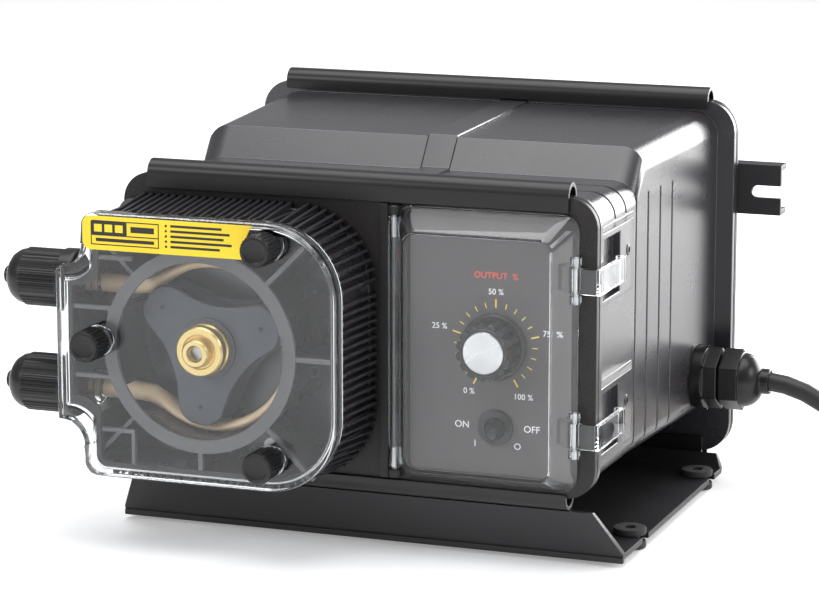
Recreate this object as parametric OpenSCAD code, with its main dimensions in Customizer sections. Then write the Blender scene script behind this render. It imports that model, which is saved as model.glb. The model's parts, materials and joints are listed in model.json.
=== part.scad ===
// Peristaltic metering pump with a roller head, a speed control under a clear cover and a sled base.
// X to the right, Y to the rear, Z up. The origin is on the floor, midway between the four foot holes.

/* [Case] */
// Half width of the front panel
front_half = 119.5; // [118.5:0.1:120.5]
// Height of the front clamp seams above the floor, lower one
front_low = 35.5; // [35:0.1:36]
// Height of the front clamp seams above the floor, upper one
front_high = 177.5; // [177:0.1:178]
// Half width of the rear panel
rear_half = 130.5; // [129:0.5:132]
// Height of the rear clamp seams above the floor, lower one
rear_low = 12.9; // [12.5:0.1:13.3]
// Height of the rear clamp seams above the floor, upper one
rear_high = 196.9; // [196:0.1:198]
// Wall thickness of the housing
wall = 3; // [2.5:0.1:3.5]
// Distance between the grooves round the housing
groove_pitch = 17.5; // [17:0.1:18]

/* [Clamp rails] */
// Wall thickness of a rail
rail_wall = 2; // [1.6:0.1:2.4]
// Inner gap of a rail, which grips the two flanges
rail_gap = 9.2; // [9.1:0.05:9.4]
// Half length of the front rails
front_rail_half = 106; // [102:1:108]
// Half length of the rear rails
rear_rail_half = 116.5; // [112:0.5:118]

/* [Mounting base] */
// Half width of the base plate
base_half = 129; // [128:0.5:130]
// Thickness of the base sheet
base_sheet = 3; // [2.5:0.1:3.2]
// Half distance between the foot holes, left to right
foot_x = 121; // [120:0.5:121.5]
// Half distance between the foot holes, front to rear
foot_y = 60; // [58:0.5:62]
// Radius of the screw hole through a foot
foot_hole_r = 2.75; // [2.2:0.05:3]

/* [Pump head] */
// Radius of the circle that the roller pins sit on
pin_circle = 29.5; // [29.3:0.1:29.6]
// Radius of a roller
roller_r = 7; // [6.8:0.05:7]
// Radius of a roller pin
pin_r = 2.5; // [2.3:0.1:2.6]
// Inner radius of the race that the tube is pressed against
race_r = 42.5; // [42.4:0.05:42.8]
// Outer radius of the pump tube
tube_r = 4.6; // [4.2:0.1:4.8]
// Radius of the rotor shaft
shaft_r = 5; // [4.8:0.1:5]
// Outer radius of a compression nut
nut_r = 14.2; // [13.6:0.1:14.4]
// Radius of the hole where the process tube enters a nut
port_r = 3.2; // [3:0.1:3.4]
// Radius of a thumb screw head
thumb_r = 7.75; // [7.4:0.05:8]

/* [Controls] */
// Radius of the speed knob skirt
knob_r = 15.8; // [15:0.1:16.4]
// Radius of the metal cap on the knob
cap_r = 10; // [9.5:0.1:10.4]
// Radius of the potentiometer shaft
pot_shaft_r = 3.175; // [3.1:0.025:3.2]
// Half height of a cover latch
latch_half = 6; // [5:0.5:6.5]

/* [Drive] */
// Gear module of both stages
gear_module = 1; // [1:1:1]
// Teeth of the output gear
output_teeth = 56; // [56:1:56]
// Teeth of the small wheel on the idler
idler_small_teeth = 14; // [14:1:14]
// Teeth of the large wheel on the idler
idler_large_teeth = 54; // [54:1:54]
// Teeth of the motor pinion
pinion_teeth = 12; // [12:1:12]

/* [Power cord] */
// Radius of the power cord
cord_r = 4.75; // [4.5:0.05:5]
// Across-flats size of the cord gland
gland_flats = 28; // [27:0.5:28.5]
// Mean radius of the coil that the spare cord lies in
coil_mean_r = 50.65; // [50.5:0.05:51]

/* [Hidden] */
$fn = 64;
far = 400;
sliver = 0.01;

// Depth positions
front_y = -108.5;
rear_y = 91;
flange_t = 4;
seal_t = 1;
panel_face = front_y - seal_t / 2 - flange_t;
panel_back = front_y - seal_t / 2;
shell_front = front_y + seal_t / 2;
shell_rear = rear_y - seal_t / 2;
step_low_y = -34;
step_high_y = -22;

// Housing section sizes: half width and top height along the depth
front_body_half = 114.5;
mid_body_half = 115;
rear_body_half = 121.5;
front_top = 173.5;
mid_top = 188.5;
rear_top = 191.5;
body_bottom = 36;
front_corner = 14;
rear_corner = 16;
body_corner = 12;
first_groove = -69;

// Mounting base and bracket positions
plate_z = 3.5;
base_front = -96.5;
base_rear = 79;
bracket_y = rear_y + seal_t / 2 + flange_t;

// Pump head positions
rotor_x = -64;
rotor_z = 100;
port_rise = 26;
head_face = -159;
cover_back = -150;
cover_inner = -155.5;
head_floor = -117;
rotor_face = -139;
rotor_back = -121;
plate_t = 3;
tube_y = -128.5;
first_lobe = 22;
thumbs = [[-26, 154], [-113.5, 103], [-26, 52]];
label_t = 0.4;
// Thickness of the squeezed tube, the radius it lies at and half the angle it wraps round
squeeze = 5.4;
race_line = race_r - squeeze / 2 - 0.1;
wrap_end = 120;
// Length of the straight run beyond the wrap, where it ends, and the room the housing gives it
run = (race_line * sin(wrap_end) - port_rise) / sin(wrap_end - 90);
bend_x = rotor_x + race_line * cos(wrap_end) - run * cos(wrap_end - 90);
run_room = 0.35;

// Drive positions
case_back = -82;
idler_x = rotor_x + gear_module * (output_teeth + idler_small_teeth) / 2;
idler_z = rotor_z;
stage_1 = gear_module * (idler_large_teeth + pinion_teeth) / 2;
motor_angle = 220;
motor_x = idler_x + stage_1 * cos(motor_angle);
motor_z = idler_z + stage_1 * sin(motor_angle);
motor_back = 12;
board_x = 92;

// Control positions
knob_x = 70;
knob_z = 105.5;
switch_x = 70.5;
switch_z = 66.5;
switch_pivot = -112.6;
tray_floor = -110;
plate_face = tray_floor - 0.8;
cover_face = -133;
hinge_x = 21.5;
hinge_y = -117;
latch_x = 110.5;
latch_heights = [140, 67];

// Gland and cord positions
gland_y = 63;
gland_z = 58;
gland_start = 118;
gland_end = 158;
coil_x = 254;
// Half width of the band of turns, its height, and how far the cord's ends lie from its centre
coil_half = 17.4;
coil_top = 19;
coil_end_r = coil_mean_r + coil_half - cord_r;
coil_y = gland_y + coil_end_r;
plug_y = coil_y + coil_end_r;
plug_z = 14;

// ---------- shared shapes ----------
// Extrude a shape drawn in X and Z from depth y0 to depth y1
module along_y(y0, y1) translate([0, y1, 0]) rotate([90, 0, 0]) linear_extrude(y1 - y0) children();
// Extrude a shape drawn in Y and Z from x0 to x1
module along_x(x0, x1) translate([x0, 0, 0]) rotate([90, 0, 90]) linear_extrude(x1 - x0) children();
// Extrude a shape drawn in X and Y from z0 to z1
module along_z(z0, z1) translate([0, 0, z0]) linear_extrude(z1 - z0) children();
// Rod along Y
module rod_y(x, z, r, y0, y1) along_y(y0, y1) translate([x, z]) circle(r);
// Rod along X
module rod_x(y, z, r, x0, x1) along_x(x0, x1) translate([y, z]) circle(r);
// Rectangle with round corners, given by its edges
module round_box(x0, x1, z0, z1, r) {
    translate([x0 + r, z0]) square([x1 - x0 - 2 * r, z1 - z0]);
    translate([x0, z0 + r]) square([x1 - x0, z1 - z0 - 2 * r]);
    for (x = [x0 + r, x1 - r])
        for (z = [z0 + r, z1 - r])
            translate([x, z]) circle(r);
}
// Block given by its lowest and highest corners
module block(a, b) translate(a) cube([b[0] - a[0], b[1] - a[1], b[2] - a[2]]);

// ---------- housing ----------
module front_section(i) round_box(-front_body_half + i, front_body_half - i, body_bottom + i,
    front_top - i, body_corner - i);
module mid_section(i) round_box(-mid_body_half + i, mid_body_half - i, body_bottom + i,
    mid_top - i, body_corner - i);
module rear_section(i) round_box(-rear_body_half + i, rear_body_half - i, body_bottom + i,
    rear_top - i, body_corner - i);

// Solid that fills the housing's outline, drawn in by i all round
module body_solid(i) {
    along_y(shell_front, step_low_y) front_section(i);
    hull() {
        along_y(step_low_y - 0.2, step_low_y) front_section(i);
        along_y(step_high_y, step_high_y + 0.2) mid_section(i);
    }
    hull() {
        along_y(step_high_y, step_high_y + 0.2) mid_section(i);
        along_y(shell_rear - 0.2, shell_rear) rear_section(i);
    }
}
// Half width of the body at a depth y behind the step
function body_half_at(y) = y < step_high_y ? front_body_half
    : mid_body_half + (rear_body_half - mid_body_half) * (y - step_high_y) / (shell_rear - step_high_y);

// Boss beside a cover latch, with its pocket
module latch_boss(z) along_z(z - 14, z + 20)
    polygon([[front_body_half - 2, shell_front], [front_half, shell_front], [front_half, -56],
        [front_body_half + 0.5, -40], [front_body_half - 2, -40]]);
module latch_pocket(z) block([front_body_half + 1, -103, z - 11.5], [front_half + 2, -77, z + 17]);

module main_housing() color("dimgray") difference() {
    union() {
        body_solid(0);
        // front and rear flanges
        along_y(shell_front, shell_front + flange_t)
            round_box(-front_half, front_half, front_low, front_high, front_corner);
        along_y(shell_rear - flange_t, shell_rear)
            round_box(-rear_half, rear_half, rear_low, rear_high, rear_corner);
        // raised strip over the top
        along_x(4, 19) polygon([[shell_front, front_top - 2], [shell_front, front_top + 1],
            [step_low_y, front_top + 1], [step_high_y, mid_top + 1], [shell_rear, rear_top + 1],
            [shell_rear, rear_top - 2], [step_high_y, mid_top - 2], [step_low_y + 2, front_top - 2]]);
        for (z = latch_heights) latch_boss(z);
    }
    intersection() {
        body_solid(wall);
        block([-far, shell_front + flange_t, 0], [far, shell_rear - flange_t, far]);
    }
    // openings behind the two panels
    along_y(shell_front - 1, shell_front + flange_t + 1) front_section(wall + 2);
    along_y(shell_rear - flange_t - 1, shell_rear + 1) rear_section(wall + 2);
    // grooves round the front part, broken at the strip
    for (n = [0, 1]) {
        y = first_groove + n * groove_pitch;
        along_y(y - 0.8, y + 0.8) difference() {
            square([2 * far, 2 * far], center = true);
            front_section(1.2);
            translate([4, front_top - 4]) square([15, 10]);
            translate([front_body_half - 4, 30]) square([20, 131]);
        }
    }
    // grooves down both sides only
    for (n = [2:5]) {
        y = first_groove + n * groove_pitch;
        x = body_half_at(y) - 1.2;
        for (s = [-1, 1]) translate([s * (x + 5), y, (body_bottom + 166) / 2 - 1])
            cube([10, 1.6, 166 - body_bottom + 2], center = true);
    }
    for (z = latch_heights) latch_pocket(z);
    // gland hole and the flat seat of its collar
    rod_x(gland_y, gland_z, 10.5, gland_start - 12, gland_start + 20);
    rod_x(gland_y, gland_z, 16.3, gland_start + 1, gland_start + 20);
}

module front_panel() color([0.2, 0.19, 0.18]) difference() {
    union() {
        along_y(panel_face, panel_back)
            round_box(-front_half, front_half, front_low, front_high, front_corner);
        // tray behind the controls
        along_y(panel_back - sliver, -106) round_box(18, 109, 41.5, 168, 7);
        // raised bar between the head and the controls
        block([13.2, panel_face - 2, 38], [17.6, panel_face + 1, 170.2]);
        // lugs for the cover's hinge pins
        for (z = [39.5, 165.5]) {
            block([hinge_x - 2.8, hinge_y, z], [hinge_x + 2.8, panel_face + 1, z + 4]);
            translate([hinge_x, hinge_y, z]) cylinder(r = 2.8, h = 4);
        }
    }
    along_y(panel_face - 0.5, tray_floor) round_box(27, 110, 43, 166, 4);
    along_z(30, 180) translate([hinge_x, hinge_y]) circle(1.2);
    rod_y(rotor_x, rotor_z, 11, panel_face - 3, panel_back + 3);
    rod_y(knob_x, knob_z, 4.8, -112, -104);
    rod_y(switch_x, switch_z, 6.1, -112, -104);
}

module rear_panel() color([0.2, 0.19, 0.18]) {
    along_y(rear_y + seal_t / 2, rear_y + seal_t / 2 + flange_t)
        round_box(-rear_half, rear_half, rear_low, rear_high, rear_corner);
    // stiffening ribs on the back
    for (x = [-90, -45, 0, 45, 90])
        block([x - 1.5, rear_y + flange_t, 30], [x + 1.5, rear_y + flange_t + 3, 138]);
}

module front_gasket() color([0.1, 0.1, 0.1]) along_y(panel_back, shell_front) difference() {
    round_box(-front_half + 1, front_half - 1, front_low + 1, front_high - 1, front_corner - 1);
    front_section(wall + 2);
}

module rear_gasket() color([0.1, 0.1, 0.1]) along_y(shell_rear, shell_rear + seal_t) difference() {
    round_box(-rear_half + 1, rear_half - 1, rear_low + 1, rear_high - 1, rear_corner - 1);
    rear_section(wall + 2);
}

// C-shaped clamp rail along X: up is 1 for a top rail and -1 for a bottom one
module rail(half, y, z, up, front_leg, rear_leg) {
    inner = rail_gap / 2;
    outer = inner + rail_wall;
    translate([0, y, z]) along_x(-half, half) {
        difference() {
            circle(outer);
            circle(inner);
            translate([-20, up > 0 ? -40 : 0]) square([40, 40]);
        }
        translate([-outer, up > 0 ? -front_leg : 0]) square([rail_wall, front_leg]);
        translate([inner, up > 0 ? -rear_leg : 0]) square([rail_wall, rear_leg]);
    }
}
module front_top_rail() color([0.17, 0.17, 0.17])
    rail(front_rail_half, front_y, front_high, 1, 7, 2.8);
module front_bottom_rail() color([0.17, 0.17, 0.17])
    rail(front_rail_half, front_y, front_low, -1, 2, 0.3);
module rear_top_rail() color([0.17, 0.17, 0.17]) rail(rear_rail_half, rear_y, rear_high, 1,
    3.8, 8);
module rear_bottom_rail() color([0.17, 0.17, 0.17]) rail(rear_rail_half, rear_y, rear_low, -1, 8, 8);

// ---------- base ----------
module foot_slot(x, y) {
    side = x > 0 ? 1 : -1;
    translate([x, y, -1]) cylinder(r = 5, h = 20);
    translate([side > 0 ? x : x - 20, y - 5, -1]) cube([20, 10, 20]);
}
module mounting_base() color([0.16, 0.16, 0.17]) difference() {
    intersection() {
        union() {
            // flat plate, then the front sheet and the short rear sheet
            block([-base_half, base_front, plate_z], [base_half, base_rear, plate_z + base_sheet]);
            along_x(-base_half, base_half) polygon([[base_front, plate_z], [front_y - 2, 28.7],
                [front_y + 1.2, 28.7], [base_front + 3, plate_z + base_sheet],
                [base_front + 3, plate_z]]);
            along_x(-base_half, base_half) polygon([[base_rear - 3, plate_z], [base_rear, plate_z],
                [rear_y - 7.2, 12.6], [rear_y - 10, 13.6], [base_rear - 3, plate_z + base_sheet]]);
            // lip along the lower front edge
            block([-base_half, base_front - 1.5, plate_z - 1.5], [base_half, base_front + 1.5, 5]);
        }
        // the sheets get narrower towards the rails
        along_y(-far, far) polygon([[-base_half, 0], [base_half, 0], [base_half, 6.5],
            [116.5, 31], [116.5, 40], [-116.5, 40], [-116.5, 31], [-base_half, 6.5]]);
    }
    for (x = [-foot_x, foot_x]) for (y = [-foot_y, foot_y]) foot_slot(x, y);
}

module rubber_feet() color([0.13, 0.13, 0.13])
    for (x = [-foot_x, foot_x]) for (y = [-foot_y, foot_y]) translate([x, y, 0]) difference() {
        union() {
            cylinder(r = 8, h = plate_z);
            cylinder(r = 5, h = 10);
            translate([0, 0, plate_z + base_sheet]) cylinder(r = 8, h = 3.5);
        }
        translate([0, 0, -1]) cylinder(r = foot_hole_r, h = 20);
    }

module wall_bracket() color([0.16, 0.16, 0.17]) difference() {
    along_x(-153, 153) {
        translate([bracket_y, 138]) square([3, 26]);
        translate([bracket_y, 138]) square([12, 3]);
        translate([bracket_y, 161]) square([12, 3]);
    }
    for (s = [-1, 1]) {
        rod_y(s * 141, 150, 3.2, bracket_y - 1, bracket_y + 5);
        along_y(bracket_y - 1, bracket_y + 5)
            translate([s > 0 ? 141 : -161, 146.8]) square([20, 6.4]);
    }
    for (x = [-100, -40, 40, 100]) rod_y(x, 151, 2.3, bracket_y - 1, bracket_y + 5);
}
module bracket_screws() color("silver") for (x = [-100, -40, 40, 100]) {
    rod_y(x, 151, 2.2, bracket_y, bracket_y + 3);
    rod_y(x, 151, 4.2, bracket_y + 3, bracket_y + 5.4);
}

// ---------- pump head ----------
// Outline of the head drawn in by i: big round corners to the right, a stepped boss to the left
module head_outline(i) {
    x0 = -120.5 + i;
    x1 = 8.9 - i;
    z0 = 37.7 + i;
    z1 = 165 - i;
    big = 36 - i;
    small = 7 - i / 2;
    step = -134 + i;
    hollow = 12 + i;
    translate([x0, z0 + small]) square([x1 - big - x0, z1 - z0 - 2 * small]);
    translate([x0 + small, z0]) square([x1 - big - x0 - small, z1 - z0]);
    translate([x0, z0 + big]) square([x1 - x0, z1 - z0 - 2 * big]);
    for (z = [z0 + big, z1 - big]) translate([x1 - big, z]) circle(big);
    for (z = [z0 + small, z1 - small]) translate([x0 + small, z]) circle(small);
    difference() {
        translate([step, 52 + i]) square([x0 - step + 1, 98 - 2 * i]);
        for (z = [52 + i - sliver, 150 - i + sliver]) translate([step + 1.5 - sliver, z]) circle(hollow);
        translate([step - 1, 40]) square([2.5, 24 + i - 1]);
        translate([step - 1, 137.5 - i]) square([2.5, 24]);
    }
}
// Ribs that stand on the head's wall, as a flat pattern
module rib_pattern() {
    for (x = [-108:8:-32]) translate([x - 1, 37.7]) square([2, 127.3]);
    for (z = [78:8:126]) translate([0, z - 1]) square([8.9, 2]);
    for (a = [6:14:90]) {
        translate([-27.1, 129]) rotate(a) translate([30, -1]) square([6, 2]);
        translate([-27.1, 73.7]) rotate(-a) translate([30, -1]) square([6, 2]);
    }
}
module head_housing() color([0.28, 0.27, 0.28]) difference() {
    union() {
        along_y(cover_back + seal_t, panel_face) difference() {
            union() {
                head_outline(2.2);
                rib_pattern();
            }
            head_outline(5.2);
        }
        along_y(head_floor, panel_face) head_outline(0);
        // race wall and the ribs that hold it
        along_y(-147, head_floor) {
            difference() {
                union() {
                    translate([rotor_x, rotor_z]) circle(race_r + 4.5);
                    intersection() {
                        head_outline(3);
                        for (a = [0:45:315]) translate([rotor_x, rotor_z]) rotate(a)
                            translate([race_r + 2, -1.2]) square([80, 2.4]);
                    }
                }
                translate([rotor_x, rotor_z]) circle(race_r);
            }
            for (p = thumbs) translate(p) circle(6.5);
        }
    }
    // ways in and out for the tube
    for (s = [-1, 1]) {
        z = rotor_z + s * port_rise;
        block([-124, -149.5, z - 7], [rotor_x - 27, -120, z + 7]);
        rod_x(tube_y, z, 7.1, -140, -120);
        rod_x(tube_y, z, 9.2, -125.4, -121.5);
        straight_run(s, run_room);
    }
    for (p = thumbs) rod_y(p[0], p[1], 2.6, -148, head_floor + 1);
    rod_y(rotor_x, rotor_z, 11, head_floor - 1, panel_face + 1);
    for (x = [-88, -40]) for (z = [50, 150]) rod_y(x, z, 2.1, head_floor - 1, panel_face + 1);
}

module head_gasket() color([0.15, 0.15, 0.15]) along_y(cover_back, cover_back + seal_t) difference() {
    head_outline(2.2);
    head_outline(5);
}

module head_cover() color([0.8, 0.85, 0.9, 0.35]) difference() {
    along_y(head_face, cover_back) head_outline(0);
    difference() {
        along_y(cover_inner, cover_back + 1) head_outline(3.2);
        for (p = thumbs) rod_y(p[0], p[1], 7, cover_inner - 1, cover_back + 2);
    }
    for (p = thumbs) rod_y(p[0], p[1], 3, head_face - 1, cover_back + 1);
}

module head_label() color([0.98, 0.84, 0.2]) along_y(head_face - label_t, head_face) difference() {
    round_box(-119, -33, 147.5, 163.6, 4);
    translate(thumbs[0]) circle(11);
}

module head_screws() color("silver") for (x = [-88, -40]) for (z = [50, 150]) {
    rod_y(x, z, 2, head_floor, panel_face);
    rod_y(x, z, 3.8, head_floor - 2.6, head_floor);
}

// Thumb screw with a ribbed head, standing on the cover
module thumb_screw(p) color([0.1, 0.1, 0.1]) {
    along_y(head_face - 13.7, head_face - 0.3) translate(p) {
        circle(thumb_r - 0.5);
        for (a = [0:15:345]) rotate(a) translate([thumb_r - 1, -0.5]) square([1, 1]);
    }
    rod_y(p[0], p[1], 2.5, head_face - 0.4, -130);
}
module thumb_screw_top() thumb_screw(thumbs[0]);
module thumb_screw_left() thumb_screw(thumbs[1]);
module thumb_screw_bottom() thumb_screw(thumbs[2]);

// The tube: round at the ports, flattened to an oval where it lies in the race
module oval(room) {
    translate([-squeeze / 2 - room, -4]) square([squeeze + 2 * room, 8]);
    for (s = [-1, 1]) translate([0, s * 4]) circle(squeeze / 2 + room);
}
module straight_run(s, room) translate([bend_x, tube_y, rotor_z + s * port_rise])
    rotate([0, -s * (wrap_end - 90), 0]) along_x(0, run) rotate(90) oval(room);
module pump_tube() color([0.78, 0.66, 0.5]) {
    // the arc in the race, then on each side a straight oval run, a bend and a round run
    translate([rotor_x, tube_y, rotor_z]) rotate([90, 0, 0]) rotate([0, 0, -wrap_end])
        rotate_extrude(angle = 2 * wrap_end) translate([race_line, 0]) oval(0);
    for (s = [-1, 1]) {
        straight_run(s, 0);
        translate([bend_x, tube_y, rotor_z + s * port_rise]) sphere(r = tube_r);
        rod_x(tube_y, rotor_z + s * port_rise, tube_r, -129, bend_x);
    }
}
module tube_adapters() color([0.85, 0.87, 0.88]) for (s = [-1, 1]) {
    z = rotor_z + s * port_rise;
    difference() {
        union() {
            rod_x(tube_y, z, 7, -160, -124);
            rod_x(tube_y, z, 9, -125, -122);
        }
        rod_x(tube_y, z, tube_r, -129, -121);
        rod_x(tube_y, z, port_r, -161, -128);
    }
}

// Ribbed compression nut with a domed end and a short nose
module compression_nut(z) color([0.12, 0.12, 0.12]) difference() {
    union() {
        translate([0, tube_y, z]) along_x(-163, -138) {
            circle(nut_r - 0.6);
            for (a = [0:10:350]) rotate(a) translate([nut_r - 1, -0.6]) square([1, 1.2]);
        }
        rod_x(tube_y, z, nut_r + 0.8, -143, -135);
        translate([-163, tube_y, z]) rotate([0, -90, 0]) rotate_extrude()
            intersection() {
                square([nut_r, 9]);
                union() {
                    square([nut_r - 9.6, 9]);
                    translate([nut_r - 9.6, 0]) circle(9);
                }
            }
        rod_x(tube_y, z, 4.2, -175, -171);
    }
    rod_x(tube_y, z, 7.1, -160.5, -134);
    rod_x(tube_y, z, port_r, -176, -160);
}
module discharge_nut() compression_nut(rotor_z + port_rise);
module suction_nut() compression_nut(rotor_z - port_rise);

// ---------- rotor ----------
module at_lobes() for (n = [0:2]) translate([rotor_x, rotor_z]) rotate(first_lobe + 120 * n)
    translate([pin_circle, 0]) children();
module lobed_plate() {
    translate([rotor_x, rotor_z]) circle(17);
    at_lobes() circle(8.6);
    at_lobes() polygon([[0, 8.5], [-13, 9.4], [-24, 15], [-24, -15], [-13, -9.4], [0, -8.5]]);
}
module rotor_front_plate() color([0.25, 0.25, 0.27]) along_y(rotor_face, rotor_face + plate_t)
    difference() {
        lobed_plate();
        at_lobes() circle(pin_r);
        translate([rotor_x, rotor_z]) circle(shaft_r);
    }
module rotor_rear_plate() color([0.25, 0.25, 0.27]) along_y(rotor_back, rotor_back + plate_t)
    difference() {
        lobed_plate();
        at_lobes() circle(pin_r);
        translate([rotor_x, rotor_z]) circle(shaft_r);
    }
module roller(n) color([0.1, 0.1, 0.1]) along_y(rotor_face + plate_t + 0.3, rotor_back - 0.3)
    translate([rotor_x, rotor_z]) rotate(first_lobe + 120 * n) translate([pin_circle, 0])
        difference() {
            circle(roller_r);
            circle(pin_r + 0.06);
        }
module roller_1() roller(0);
module roller_2() roller(1);
module roller_3() roller(2);
module roller_pins() color("silver") along_y(rotor_face - 0.6, rotor_back + plate_t)
    at_lobes() circle(pin_r);
module hub_nut() color([0.8, 0.6, 0.25]) translate([rotor_x, 0, rotor_z]) {
    along_y(-149.5, rotor_face) difference() {
        circle(12.3);
        circle(shaft_r);
    }
    along_y(-154.6, -149.5) difference() {
        circle(6.8);
        circle(2);
    }
}
module rotor_shaft() color("silver") {
    rod_y(rotor_x, rotor_z, shaft_r, -149.5, -116);
    rod_y(rotor_x, rotor_z, shaft_r - 0.04, -116, -90);
}

module shaft_bearing() color("silver") along_y(panel_face, panel_back + 4)
    translate([rotor_x, rotor_z]) difference() {
        circle(11);
        circle(shaft_r);
    }
module shaft_seal() color([0.15, 0.15, 0.15]) along_y(head_floor, panel_face)
    translate([rotor_x, rotor_z]) difference() {
        circle(11);
        circle(shaft_r + 0.05);
    }

// ---------- drive ----------
// Spur gear with straight-sided stub teeth
module gear(x, z, teeth, turn, y0, y1) {
    root = gear_module * (teeth / 2 - 1.15);
    tip = gear_module * (teeth / 2 + 0.75);
    rod_y(x, z, root, y0, y1);
    along_y(y0, y1) translate([x, z]) rotate(turn) for (n = [0:teeth - 1]) rotate(360 * n / teeth)
        polygon([[root - 0.6, 0.85], [root, 0.85], [tip, 0.36], [tip, -0.36], [root, -0.85],
            [root - 0.6, -0.85]]);
}
module gearbox_outline(i) round_box(-100 + i, 9 - i, 63 + i, 137 - i, 8 - i);
module gearbox_case() color("lightgray") difference() {
    along_y(panel_back, case_back) gearbox_outline(0);
    along_y(panel_back + 4, case_back + 1) gearbox_outline(4);
    rod_y(rotor_x, rotor_z, 11, panel_back - 1, panel_back + 5);
    rod_y(idler_x, idler_z, 2, panel_back + 1, panel_back + 5);
}
module gearbox_lid() color("lightgray") difference() {
    along_y(case_back, case_back + 3) gearbox_outline(0);
    rod_y(motor_x, motor_z, 4, case_back - 1, case_back + 4);
    rod_y(idler_x, idler_z, 2, case_back - 1, case_back + 2);
}
module output_gear() color("tan") difference() {
    gear(rotor_x, rotor_z, output_teeth, 0, -102, -94);
    rod_y(rotor_x, rotor_z, shaft_r - 0.04, -103, -93);
}
module idler_gear() color("tan") difference() {
    union() {
        gear(idler_x, idler_z, idler_small_teeth, 180 / idler_small_teeth, -103, -92.5);
        gear(idler_x, idler_z, idler_large_teeth, 0, -93, -86);
    }
    rod_y(idler_x, idler_z, 2.05, -104, -85);
}
module idler_axle() color("silver") rod_y(idler_x, idler_z, 2, panel_back + 1, case_back + 2);

module motor_can() color([0.55, 0.56, 0.58]) difference() {
    rod_y(motor_x, motor_z, 30, case_back + 3, motor_back);
    rod_y(motor_x, motor_z, 27, case_back + 6, motor_back - 3);
    rod_y(motor_x, motor_z, 2.56, case_back, motor_back + 1);
}
module motor_armature() color("peru") {
    rod_y(motor_x, motor_z, 2.5, -92, motor_back + 4);
    rod_y(motor_x, motor_z, 20, -66, -12);
    rod_y(motor_x, motor_z, 9, -10, 2);
    gear(motor_x, motor_z, pinion_teeth, motor_angle - 180 + 180 / pinion_teeth, -91.5, -87);
}

module circuit_board() color([0.1, 0.4, 0.2]) {
    block([board_x, -60, 60], [board_x + 1.6, 50, 150]);
    block([board_x - 12, -30, 80], [board_x, 10, 100]);
    rod_x(-35, 128, 8, board_x - 13.5, board_x);
    // posts that hold the board to the housing's inner wall
    for (y = [-50, 40]) for (z = [66, 144]) rod_x(y, z, 3, board_x + 1.6, front_body_half - wall);
}

// ---------- controls ----------
module control_faceplate() color([0.33, 0.31, 0.31]) along_y(plate_face, tray_floor) difference() {
    round_box(27.4, 109.6, 43.4, 165.6, 3.6);
    translate([knob_x, knob_z]) circle(4.8);
    translate([switch_x, switch_z]) circle(6.1);
}
module potentiometer() color("silver") {
    rod_y(knob_x, knob_z, 12, -106, -94);
    rod_y(knob_x, knob_z, 4.7, -112, -106);
}
module speed_knob() color([0.12, 0.12, 0.12]) {
    difference() {
        union() {
            rod_y(knob_x, knob_z, knob_r, -116, -113);
            along_y(-129, -116) translate([knob_x, knob_z]) {
                circle(12.6);
                for (a = [0:20:340]) rotate(a) translate([11.8, -1.5]) square([2, 3]);
            }
        }
        rod_y(knob_x, knob_z, pot_shaft_r, -124, -112.9);
        rod_y(knob_x, knob_z, cap_r, -129.5, -128);
    }
    rod_y(knob_x, knob_z, pot_shaft_r, -124, -112.3);
}
module knob_cap() color("silver") difference() {
    rod_y(knob_x, knob_z, cap_r, -129.6, -128);
    // pointer line
    translate([knob_x, 0, knob_z]) rotate([0, 30, 0]) block([-9.5, -130, -0.4], [-2, -129.2, 0.4]);
}

module switch_body() color([0.3, 0.3, 0.32]) {
    block([switch_x - 6.5, -106, switch_z - 11], [switch_x + 6.5, -90, switch_z + 11]);
    difference() {
        union() {
            rod_y(switch_x, switch_z, 6, -110.8, -106);
            rod_y(switch_x, switch_z, 8.5, -113.2, -110.8);
        }
        rod_y(switch_x, switch_z, 5.1, -114, -107.6);
    }
    for (s = [-1, 0, 1])
        block([switch_x - 2, -90, switch_z + 6 * s - 0.5], [switch_x + 2, -84, switch_z + 6 * s + 0.5]);
}
// Rubber-booted lever, resting tilted to the right; it rocks about a vertical axis through its ball
module switch_lever() color([0.14, 0.14, 0.14]) translate([switch_x, switch_pivot, switch_z]) {
    sphere(r = 4.6);
    rotate([0, 0, 12]) rotate([90, 0, 0]) {
        cylinder(r1 = 4.3, r2 = 3, h = 13);
        translate([0, 0, 13]) sphere(r = 3);
    }
}

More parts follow.
